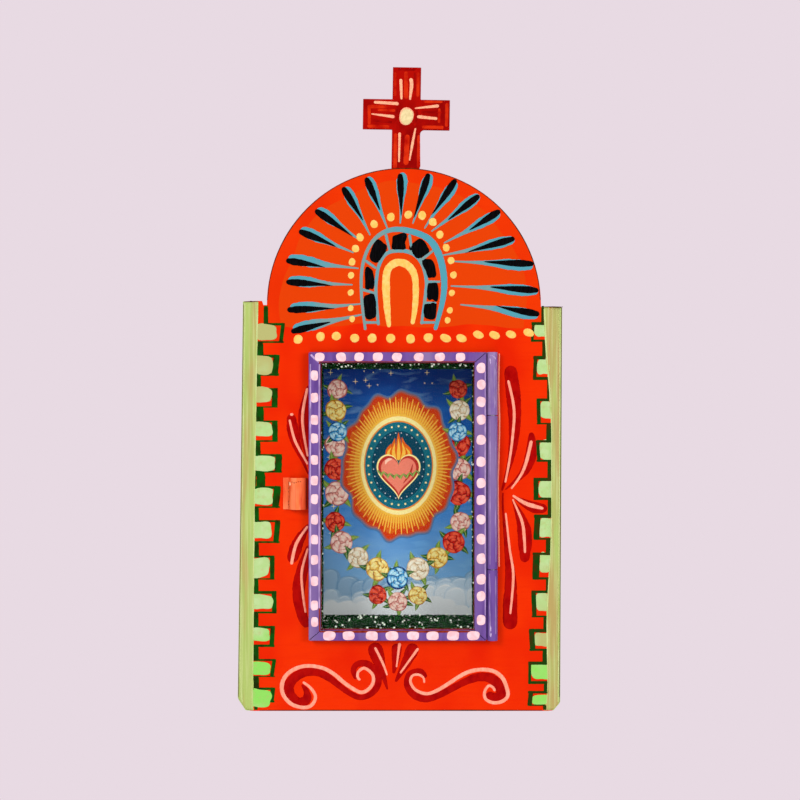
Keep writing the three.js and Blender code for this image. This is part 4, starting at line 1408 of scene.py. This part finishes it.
def scatter(gathered, low, high, normal, count, sparkle, draw):
    """Glitter flakes strewn over one side of a pad. A share of them stand up, white and turned to the
    front, as painted glints.
    """
    for _ in range(count):
        place = Vector([draw.uniform(low[i], high[i]) for i in range(3)])
        tilt = Vector([draw.gauss(0, 1) for _ in range(3)])
        radius = draw.uniform(0.65, 1.2) * MM
        if draw.random() < sparkle:
            gathered.kind = BRIGHT
            facing = FRONT + normal * 0.25 + tilt * 0.1
            radius *= SPARKLE_RADIUS
            place += normal * radius * (0.8 if normal.z > 0 else 0.15)
        else:
            gathered.kind = draw.choices((DARK, GREEN), (DARK_SHARE, 1 - DARK_SHARE))[0]
            facing = FRONT * 0.2 + normal + tilt * 0.4
            radius *= FLAKE_RADIUS
        add_flake(gathered, place, facing, radius)


def open_side(low, high, normal, grain):
    """The space for flakes on the side of a pad that faces into the recess."""
    axis = 2 if normal.z else 0
    face = high[axis] if normal[axis] > 0 else low[axis]
    flake_low, flake_high = low.copy(), high.copy()
    for i in range(3):
        flake_low[i] += EDGE_ROOM * MM
        flake_high[i] -= EDGE_ROOM * MM
    ends = (face + normal[axis] * FLAKE_RISE * MM, face - normal[axis] * (grain * 0.8) * MM)
    flake_low[axis], flake_high[axis] = sorted(ends)
    return flake_low, flake_high


def front_side(low, high):
    """The space for flakes on the front of a pad."""
    flake_low, flake_high = low.copy(), high.copy()
    for i in (0, 2):
        rim = min(EDGE_ROOM * MM, (high[i] - low[i]) * 0.3)
        flake_low[i] += rim
        flake_high[i] -= rim
    flake_low.y, flake_high.y = low.y + 0.1 * MM, low.y + 0.35 * MM
    return flake_low, flake_high


def coat_with_glitter():
    """Glue and glitter on the floor, ceiling and walls of the recess."""
    draw = random.Random(GLITTER_SEED)
    materials = [
        glitter_glue(),
        flake("flake_dark", rgb(5, 36, 10), rgb(2, 18, 4), 0.5),
        flake("flake_green", rgb(48, 136, 58), rgb(16, 78, 24)),
        # The bright white flakes are painted glints of the glitter
        flake("flake_glint", rgb(255, 255, 250), rgb(222, 246, 210)),
    ]
    for number, (node, normal, count, sparkle, front_sparkle) in enumerate(PADS):
        low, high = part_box(node)
        grain = 0.35 if normal.z else 0.1
        gathered = Gathered()
        glue = lumpy_box(low, high, GLUE_CELL * MM, GLUE_LUMP * MM, grain * MM, number * 7.3)
        gathered.add(*glue)
        scatter(gathered, *open_side(low, high, normal, grain), normal, count, sparkle, draw)
        front_count = round((high.x - low.x) * (high.z - low.z) / MM**2 * FRONT_FLAKES)
        scatter(gathered, *front_side(low, high), FRONT, front_count, front_sparkle, draw)
        keep_inside(gathered, low, high, normal)
        piece = gathered.build(f"{node}_coat", materials, "niche", "green_glitter", (node,))
        for polygon in piece.data.polygons:
            polygon.use_smooth = polygon.material_index == GLUE


def keep_inside(gathered, low, high, normal):
    """Holds flakes to the space of their pad, apart from a little way into the open recess."""
    for point in gathered.points:
        for i in range(3):
            below, above = (REACH_INTO_RECESS * MM * max(0, sign * normal[i]) for sign in (-1, 1))
            point[i] = min(max(point[i], low[i] - below), high[i] + above)


# How much thicker a run of solder is than the plain fillet of the CAD
SOLDER_SWELL = 1.5
SOLDER_RINGS = 26
SOLDER_SIDES = 14


def solder_bead(node, along):
    """A lumpy run of solder where a CAD fillet is, along one axis."""
    low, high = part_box(node)
    centre = (low + high) / 2
    rings = []
    for i in range(SOLDER_RINGS + 1):
        share = i / SOLDER_RINGS
        profile = math.sin(math.pi * min(max(share, 0.02), 0.98)) ** 0.35
        ring = []
        for k in range(SOLDER_SIDES):
            angle = 2 * math.pi * k / SOLDER_SIDES
            cosine, sine = math.cos(angle), math.sin(angle)
            lump = 1 + 0.22 * noise.noise(Vector((share * 9, cosine, sine + low.x * 900)))
            point = centre.copy()
            point[along] = low[along] + (high[along] - low[along]) * share
            for axis, part in (((along + 1) % 3, cosine), ((along + 2) % 3, sine)):
                point[axis] += part * (high[axis] - low[axis]) / 2 * SOLDER_SWELL * profile * lump
                point[axis] = min(max(point[axis], cad_low[axis]), cad_high[axis])
            ring.append(point)
        rings.append(ring)
    gathered = Gathered()
    gathered.loft(rings)
    return gathered


def lay_solder():
    """A bead for each CAD fillet, along X, Y or Z."""
    metal = solder_metal()
    runs = [("cross", 0), ("hanger", 0)]
    for along, levels in ((1, ("top", "bottom")), (2, ("upper", "lower"))):
        runs += [(f"{level}_{side}", along) for level in levels for side in ("left", "right")]
    for name, along in runs:
        node = f"solder_{name}"
        solder_bead(node, along).build(f"{node}_bead", metal, "niche", "solder", (node,))


# The print on the card: a sun, a flaming heart, garlands of roses and banks of cloud
GOLD = rgb(248, 190, 70)
PALE_GOLD = rgb(255, 238, 160)
AMBER = rgb(238, 142, 40)
BURNT_ORANGE = rgb(226, 98, 22)
SUN_RED = rgb(216, 62, 20)
HEART_PINK = rgb(240, 132, 108)
HEART_SHADE = rgb(190, 48, 40)
HEART_LIGHT = rgb(255, 206, 178)
LEAF_LIGHT = rgb(186, 206, 110)
LEAF_PRINT = rgb(126, 164, 62)
DARK_LEAF = rgb(30, 66, 36)
DEEP_LEAF_PRINT = rgb(48, 104, 48)
CLOUD_TONES = [rgb(112, 156, 194), rgb(156, 188, 212), rgb(200, 218, 230), rgb(232, 238, 240)]
TEAL = rgb(20, 108, 126)
DEEP_TEAL = rgb(8, 66, 88)
SKY_GLOW = rgb(134, 192, 230)
# Each rose's petals: light, middle and dark
ROSES = {
    "white": (rgb(255, 248, 226), rgb(242, 216, 176), rgb(186, 152, 104)),
    "pink": (rgb(255, 224, 208), rgb(240, 166, 150), rgb(184, 84, 80)),
    "red": (rgb(250, 96, 62), rgb(216, 28, 22), rgb(132, 4, 10)),
    "yellow": (rgb(255, 240, 156), rgb(246, 196, 82), rgb(186, 118, 30)),
    "blue": (rgb(190, 234, 248), rgb(50, 160, 220), rgb(4, 50, 120)),
}
# Rows of petals from the outside in: how many, how far out and how long, as shares of a rose's size
PETALS = ((6, 0.31, 0.42), (5, 0.19, 0.36), (3, 0.08, 0.26))
# The garland's right half: x, z, size and colour of each rose. The left half mirrors its places
GARLAND = [
    (27.4, 46.6, 8.8, "red"), (28.0, 37.0, 9.6, "white"), (27.2, 27.4, 8.8, "blue"),
    (28.4, -13.6, 9.4, "pink"), (25.4, -22.8, 10.4, "red"), (18.0, -29.6, 9.6, "yellow"),
    (9.2, -34.8, 10.6, "white"),
]
# Roses half hidden behind the sun
BACK_ROSES = [(27.4, 21.5, 11.4, "red"), (28.0, 10.4, 10.4, "pink"), (27.6, -0.6, 11.2, "red")]
MIDDLE_ROSES = [
    (0.0, -38.8, 9.8, "blue"), (-9.0, -46.6, 8.6, "red"), (9.2, -46.8, 8.6, "yellow"),
    (0.0, -49.6, 9.0, "pink"),
]
MIRRORED = {"red": "pink", "pink": "red", "white": "yellow", "yellow": "white", "blue": "blue"}
# Glow round the sun, from the sky inwards
SUN_GLOW = [rgb(74, 118, 172), rgb(112, 116, 144), rgb(156, 106, 108), rgb(192, 84, 62)]
SUN_X = 0.4
SUN_Z = 12.0
SUN_STRETCH = 1.3
SUN_RAYS = 112
DISC_DOTS = 28
STARS = 90
CLOUDS_IN_ROW = 12
WREATH_LEAVES = 13
PRINT_SEED = 11
# How near to each other, in mm, two corners of the print may be before they are one
WELD = 0.0005


def around(angle, radius, x=SUN_X, z=SUN_Z):
    """A point at an angle in degrees and a distance from a centre."""
    turn = math.radians(angle)
    return (x + radius * math.cos(turn), z + radius * math.sin(turn))


def blend(first, second, share=0.5):
    """A colour between two."""
    return tuple(a + (b - a) * share for a, b in zip(first, second))


def within(points, outline):
    """Which points are inside an outline: those with an odd number of its sides to their right."""
    inside = numpy.zeros(len(points), dtype=bool)
    for (start_x, start_z), (end_x, end_z) in zip(outline, outline[1:] + outline[:1]):
        if start_z != end_z:
            level = (start_z > points[:, 1]) != (end_z > points[:, 1])
            place = start_x + (points[:, 1] - start_z) * (end_x - start_x) / (end_z - start_z)
            inside ^= level & (points[:, 0] < place)
    return inside


class Print:
    """The card and its print. The forms are cut where they cross, so that the ink is one flat sheet."""

    def __init__(self):
        self.low, self.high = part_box("picture_card")
        self.left, self.right = self.low.x / MM, self.high.x / MM
        self.bottom, self.top = self.low.z / MM, self.high.z / MM
        self.outlines = []
        self.tints = []

    def flat(self, outline, tint):
        """A form of one colour, over those before it and cut off at the edge of the card."""
        held = []
        for x, z in outline:
            held.append((min(max(x, self.left), self.right), min(max(z, self.bottom), self.top)))
        self.outlines.append(held)
        self.tints.append(tint)

    def line(self, points, widths, tint):
        places = brush_line(points, widths, spacing=1.2)
        left = [centre + across * half for centre, across, half in places]
        right = [centre - across * half for centre, across, half in places]
        self.flat(left + right[::-1], tint)

    def leaf(self, x, z, length, lean, tint):
        """A leaf with a dark rim and a pale vein."""
        tip, root = around(lean, length / 2, x, z), around(lean + 180, length / 2, x, z)
        route = [root, around(lean + 90, length * 0.08, x, z), tip]
        rim = [length * 0.12, length * 0.46, length * 0.3, 0.1]
        self.line(route, rim, blend(tint, DARK_LEAF))
        self.line(route, [length * 0.08, length * 0.36, length * 0.22, 0.1], tint)
        self.line(route, [0.3, 0.22, 0.1], LEAF_LIGHT)

    def rose(self, x, z, size, colour, turn):
        """A rose seen from its front: three rows of petals, each petal shaded from its rim inwards."""
        light, middle, dark = ROSES[colour]
        self.flat(rounded(x, z, size * 0.96, size * 0.96, 2, turn, 0.12, 20), dark)
        shades = (
            (dark, 1.0, 0.0), (middle, 0.88, 0.015), (blend(middle, light), 0.7, 0.03),
            (light, 0.44, 0.05),
        )
        for row, (count, reach, petal) in enumerate(PETALS):
            for k in range(count):
                angle = 360 * k / count + turn + 40 * row
                for tint, share, out in shades:
                    px, pz = around(angle, size * (reach + out), x, z)
                    width, height = size * petal * 0.8 * share, size * petal * 1.3 * share
                    self.flat(rounded(px, pz, width, height, 2.2, angle, 0.1, 14), tint)
        for tint, share in ((dark, 0.14), (middle, 0.1)):
            self.flat(rounded(x, z, size * share, size * share, 2, 0, 0.1, 12), tint)

    def spray(self, x, z, size, colour, turn, count):
        """A rose on a ring of leaves."""
        for k in range(count):
            lean = 360 * k / count + turn
            leaf_x, leaf_z = around(lean, size * 0.52, x, z)
            self.leaf(leaf_x, leaf_z, size * 0.62, lean, LEAF_PRINT if k % 2 else DEEP_LEAF_PRINT)
        self.rose(x, z, size, colour, turn)

    def cut(self):
        """The forms cut into triangles where they cross: corners, triangles and each one's form."""
        left, right, bottom, top = self.left, self.right, self.bottom, self.top
        card = [(left, bottom), (right, bottom), (right, top), (left, top)]
        points, sides = [], []
        for outline in [card] + self.outlines:
            first, count = len(points), len(outline)
            points += [Vector(point) for point in outline]
            sides += [(first + i, first + (i + 1) % count) for i in range(count)]
        corners, _, triangles = geometry.delaunay_2d_cdt(points, sides, [], 0, WELD, False)[:3]
        corners = numpy.array([corner[:] for corner in corners])
        middles = corners[numpy.array(triangles)].mean(axis=1)
        owners = numpy.full(len(triangles), -1)
        for number, outline in enumerate(self.outlines):
            low, high = numpy.min(outline, axis=0), numpy.max(outline, axis=0)
            near = ((middles >= low) & (middles <= high)).all(axis=1).nonzero()[0]
            owners[near[within(middles[near], outline)]] = number
        return corners, triangles, owners

    def build(self, name, materials):
        """One closed piece: the print in front and the board's edges and rear behind it."""
        corners, triangles, owners = self.cut()
        middle = Vector(((self.left + self.right) / 2, (self.bottom + self.top) / 2))
        rim = [
            i for i, (x, z) in enumerate(corners)
            if min(x - self.left, self.right - x, z - self.bottom, self.top - z) < 2 * WELD
        ]
        rim.sort(key=lambda i: math.atan2(corners[i][1] - middle.y, corners[i][0] - middle.x))
        art = Gathered()
        art.points = [Vector((x * MM, self.low.y, z * MM)) for x, z in corners]
        art.tint = ROSES["white"][0]
        for number, (triangle, owner) in enumerate(zip(triangles, owners)):
            art.faces.append(triangle)
            art.tints.append(self.tints[owner] if owner >= 0 else art.tint)
            art.kinds.append(1 if owner >= 0 else 0)
        count, rear = len(rim), len(art.points)
        walls = []
        for i in range(count):
            j = (i + 1) % count
            walls.append([rim[i], rear + i, rear + j, rim[j]])
        walls.append([rear + i for i in reversed(range(count))])
        art.points += [Vector((corners[i][0] * MM, self.high.y, corners[i][1] * MM)) for i in rim]
        art.faces += walls
        art.tints += [art.tint] * len(walls)
        art.kinds += [0] * len(walls)
        art.build(name, materials, "niche", "printed_card", ("picture_card",), soft=False)


def print_sky(page, draw):
    """Stars above and banks of cloud below."""
    for _ in range(STARS):
        x, z = draw.uniform(-33, 33), draw.uniform(-20, 57)
        if math.hypot(x - SUN_X, (z - SUN_Z) / SUN_STRETCH) < 29:
            continue
        page.flat(rounded(x, z, 0.6, 0.6, count=10), PALE_GOLD)
        if draw.random() < 0.5:
            page.line([(x - 1.2, z), (x + 1.2, z)], [0.1, 0.35, 0.1], PALE_GOLD)
            page.line([(x, z - 1.2), (x, z + 1.2)], [0.1, 0.35, 0.1], PALE_GOLD)
    for row, tint in enumerate(CLOUD_TONES):
        crest = -35.5 - 5.2 * row
        edge = CLOUD_TONES[min(row + 1, 3)]
        for k in range(CLOUDS_IN_ROW):
            x = -36 + 6.4 * k + draw.uniform(-1.5, 1.5)
            size = draw.uniform(8, 12.5)
            valley = 4.5 * math.cos(x / 32 * math.pi / 2 + row)
            z = crest - valley + draw.uniform(-1.6, 1.6)
            drop = size / 2 + 6
            page.flat(rounded(x, z - drop / 2, size, drop, 2.6, 0, 0.05, 26), tint)
            inner = (x - 0.6, z - drop / 2 + 0.2, size * 0.78, drop * 0.86)
            page.flat(rounded(*inner, 2.6, 0, 0.05, 26), blend(tint, edge))
            rim = [(x + size * 0.3 * s, z - 0.7 - 1.6 * s * s) for s in (-1, -0.5, 0, 0.5, 1)]
            page.line(rim, [0.2, 0.8, 0.2], edge)


def oval(angle, radius):
    """A point of the sun's oval, which is taller than wide."""
    x, z = around(angle, radius)
    return (x, SUN_Z + (z - SUN_Z) * SUN_STRETCH)


def print_sun(page):
    """A tall sun of fine rays on a glowing ground, with a teal disc in its middle."""
    turns = range(120)
    waves = [0.9 * math.sin(math.radians(30 * i)) for i in turns]
    rim = [24.4 + waves[i] + 0.6 * math.sin(math.radians(51 * i)) for i in turns]
    grounds = [(1.7 - 0.42 * step, tint) for step, tint in enumerate(SUN_GLOW)]
    for wider, tint in grounds:
        page.flat([oval(3 * i, reach + wider) for i, reach in enumerate(rim)], tint)
    page.flat([oval(3 * i, reach) for i, reach in enumerate(rim)], SUN_RED)
    page.flat([oval(3 * i, reach - 1.7) for i, reach in enumerate(rim)], BURNT_ORANGE)
    page.flat([oval(9 * i, 20.2) for i in range(40)], AMBER)
    for i in range(SUN_RAYS):
        angle = 360 / SUN_RAYS * i
        reach = 24.0 if i % 2 else 22.2
        page.line([oval(angle, 14), oval(angle, reach)], [0.8, 0.75, 0.4], GOLD)
    rings = [(18.0, GOLD), (17.2, PALE_GOLD), (15.7, AMBER), (15.2, TEAL), (12.2, DEEP_TEAL)]
    for radius, tint in rings:
        page.flat([oval(9 * i, radius) for i in range(40)], tint)
    for i in range(DISC_DOTS):
        x, z = oval(360 / DISC_DOTS * i, 13.7)
        page.flat(rounded(x, z, 0.9, 0.9, count=10), PALE_GOLD)
        x, z = oval(360 / DISC_DOTS * (i + 0.5), 11.4)
        page.flat(rounded(x, z, 0.5, 0.5, count=8), CLOUD_TONES[3])


def print_flames(page):
    """Flames that rise from the heart, orange ones with shorter gold ones on them."""
    base = SUN_Z + 2.4
    flames = ((-4.0, 7.5), (4.0, 7.5), (-2.0, 10.0), (2.0, 10.4), (0.0, 12.6))
    layers = ((BURNT_ORANGE, [2.6, 3.0, 2.0, 0.2], 1.0), (GOLD, [1.4, 1.7, 1.0, 0.1], 0.78))
    for tint, widths, share in layers:
        for shift, tall in flames:
            x, top = SUN_X + shift, tall * share
            route = [(x * 0.8, base), (x * 1.2, base + top * 0.5), (x * 0.8, base + top)]
            page.line(route, widths, tint)


def print_heart(page):
    """A heart in front of its flames, with a small wreath of leaves under it."""
    outline = []
    for i in range(48):
        t = 2 * math.pi * i / 48
        across = 16 * math.sin(t) ** 3
        up = 13 * math.cos(t) - 5 * math.cos(2 * t) - 2 * math.cos(3 * t) - math.cos(4 * t)
        outline.append((SUN_X + across * 0.58, SUN_Z - 3.4 + up * 0.66))
    print_flames(page)
    centre = Vector((SUN_X, SUN_Z - 3.4))
    for share, tint in ((1.08, PALE_GOLD), (1.0, HEART_SHADE), (0.86, HEART_PINK)):
        page.flat([centre + (Vector(point) - centre) * share for point in outline], tint)
    shine = [(-6.0, 0.6), (-5.2, 2.4), (-3.0, 3.0)]
    page.line([(SUN_X + x, SUN_Z + z) for x, z in shine], [0.4, 1.7, 0.4], HEART_LIGHT)
    fold = [(2.2, -8.0), (5.2, -3.6), (6.4, 0.6)]
    page.line([(SUN_X + x, SUN_Z + z) for x, z in fold], [0.3, 1.3, 0.3], HEART_SHADE)
    for i in range(WREATH_LEAVES):
        x = SUN_X - 8.7 + 1.45 * i
        z = SUN_Z - 3.2 - 1.8 * math.sin(math.pi * i / 12)
        page.leaf(x, z, 3.0, 60 if i % 2 else -50, LEAF_PRINT if i % 2 else DEEP_LEAF_PRINT)


def print_garland(page, roses):
    """Roses and leaves on both sides, the left ones in other colours than the right ones."""
    for side in (1, -1):
        for number, (x, z, size, colour) in enumerate(roses):
            bloom = colour if side > 0 else MIRRORED[colour]
            page.spray(x * side, z, size, bloom, 31 * number + 17 * side, 4)


def print_card():
    """The whole print, from its ground up."""
    page = Print()
    draw = random.Random(PRINT_SEED)
    print_sky(page, draw)
    print_garland(page, BACK_ROSES)
    print_sun(page)
    print_heart(page)
    print_garland(page, GARLAND)
    for number, (x, z, size, colour) in enumerate(MIDDLE_ROSES):
        page.spray(x, z, size, colour, 20 + 12 * number, 5)
    page.build("card_print", [sky_print(), ink()])


# The photograph's view, in mm, and the colour behind the object
PHOTO_DISTANCE = 700.0
PHOTO_WIDTH = 347.84
PHOTO_CENTRE = (1.05, 41.7)
BACKDROP = rgb(232, 218, 227)
# The floor's middle, its radius and its thickness, in metres
FLOOR_CENTRE = Vector((0, 0, -0.45))
FLOOR_RADIUS = 0.6
FLOOR_THICKNESS = 0.004
# Lamps: name, place and size in metres, and power in watts
LAMPS = [
    ("key", (-0.72, -1.05, 0.52), 0.5, 8.0),
    ("fill", (0.8, -1.0, 0.2), 0.5, 5.6),
    ("low_fill", (-0.1, -1.2, -0.4), 0.6, 2.0),
    ("rear", (0.5, 0.95, 0.7), 0.9, 3.6),
    ("rear_fill", (-0.8, 0.8, 0.1), 0.9, 2.0),
]
LAMP_TARGET = Vector((0, 0, 0.04))


def set_camera():
    """The camera from which the photograph was taken, straight in front."""
    camera = add_object("camera", bpy.data.cameras.new("camera"))
    x, z = PHOTO_CENTRE
    camera.location = (x * MM, plate_low.y - PHOTO_DISTANCE * MM, z * MM)
    camera.rotation_euler = (math.pi / 2, 0, 0)
    camera.data.sensor_width = 36
    camera.data.lens = camera.data.sensor_width * PHOTO_DISTANCE / PHOTO_WIDTH
    camera.data.clip_start = 10 * MM
    bpy.context.scene.camera = camera


def build_floor():
    """A pale disc under the hanging object, for its shadow."""
    turns = [2 * math.pi * i / 96 for i in range(96)]
    floor = Gathered()
    rings = []
    for share, drop in ((1.0, FLOOR_THICKNESS), (1.0, 0.0), (0.5, 0.0)):
        middle, radius = FLOOR_CENTRE - Vector((0, 0, drop)), FLOOR_RADIUS * share
        rings.append([middle + Vector((math.cos(t), math.sin(t), 0)) * radius for t in turns])
    floor.loft(rings)
    mesh = bpy.data.meshes.new("floor")
    mesh.from_pydata(floor.points, [], floor.faces)
    finish = Finish("floor", roughness=0.9)
    mottle = finish.clouds((60, 60, 60))
    finish.set("Base Color", finish.mix(mottle, rgb(236, 224, 232), rgb(240, 228, 236)))
    mesh.materials.append(finish.material)
    add_object("floor", mesh)


def add_lamp(name, place, size, power):
    """A round soft lamp that shines on the object."""
    lamp = add_object(name, bpy.data.lights.new(name, "AREA"))
    lamp.data.shape = "DISK"
    lamp.data.size = size
    lamp.data.energy = power
    lamp.location = place
    lamp.rotation_euler = (LAMP_TARGET - Vector(place)).to_track_quat("-Z", "Y").to_euler()


def surround():
    """A soft warm light from all round, which the camera, metal and glass see as the pale backdrop."""
    world = bpy.data.worlds.new("surround")
    world.use_nodes = True
    bpy.context.scene.world = world
    pattern = Nodes(world.node_tree)
    light = pattern.tree.nodes["Background"]
    light.inputs["Color"].default_value = (1.0, 0.985, 0.97, 1.0)
    light.inputs["Strength"].default_value = 0.5
    rays = pattern.node("ShaderNodeLightPath").outputs
    seen = rays["Is Camera Ray"]
    for kind in ("Is Glossy Ray", "Is Transmission Ray"):
        seen = pattern.maths("MAXIMUM", seen, rays[kind])
    shown = pattern.result("ShaderNodeBackground", BACKDROP)
    mixed = pattern.either(seen, light.outputs[0], shown)
    pattern.feed(pattern.tree.nodes["World Output"].inputs["Surface"], mixed)


def set_stage():
    """The floor, the lamps and the surround."""
    build_floor()
    for lamp in LAMPS:
        add_lamp(*lamp)
    surround()
    bpy.context.scene.view_settings.view_transform = "Standard"


set_camera()
set_stage()
dress_solids()
paint_arch()
paint_bands()
shade_edges()
paint_leaves()
paint_cross()
paint_door()
paint_barrel()
glint_barrel()
mark_catch()
print_card()
coat_with_glitter()
lay_solder()
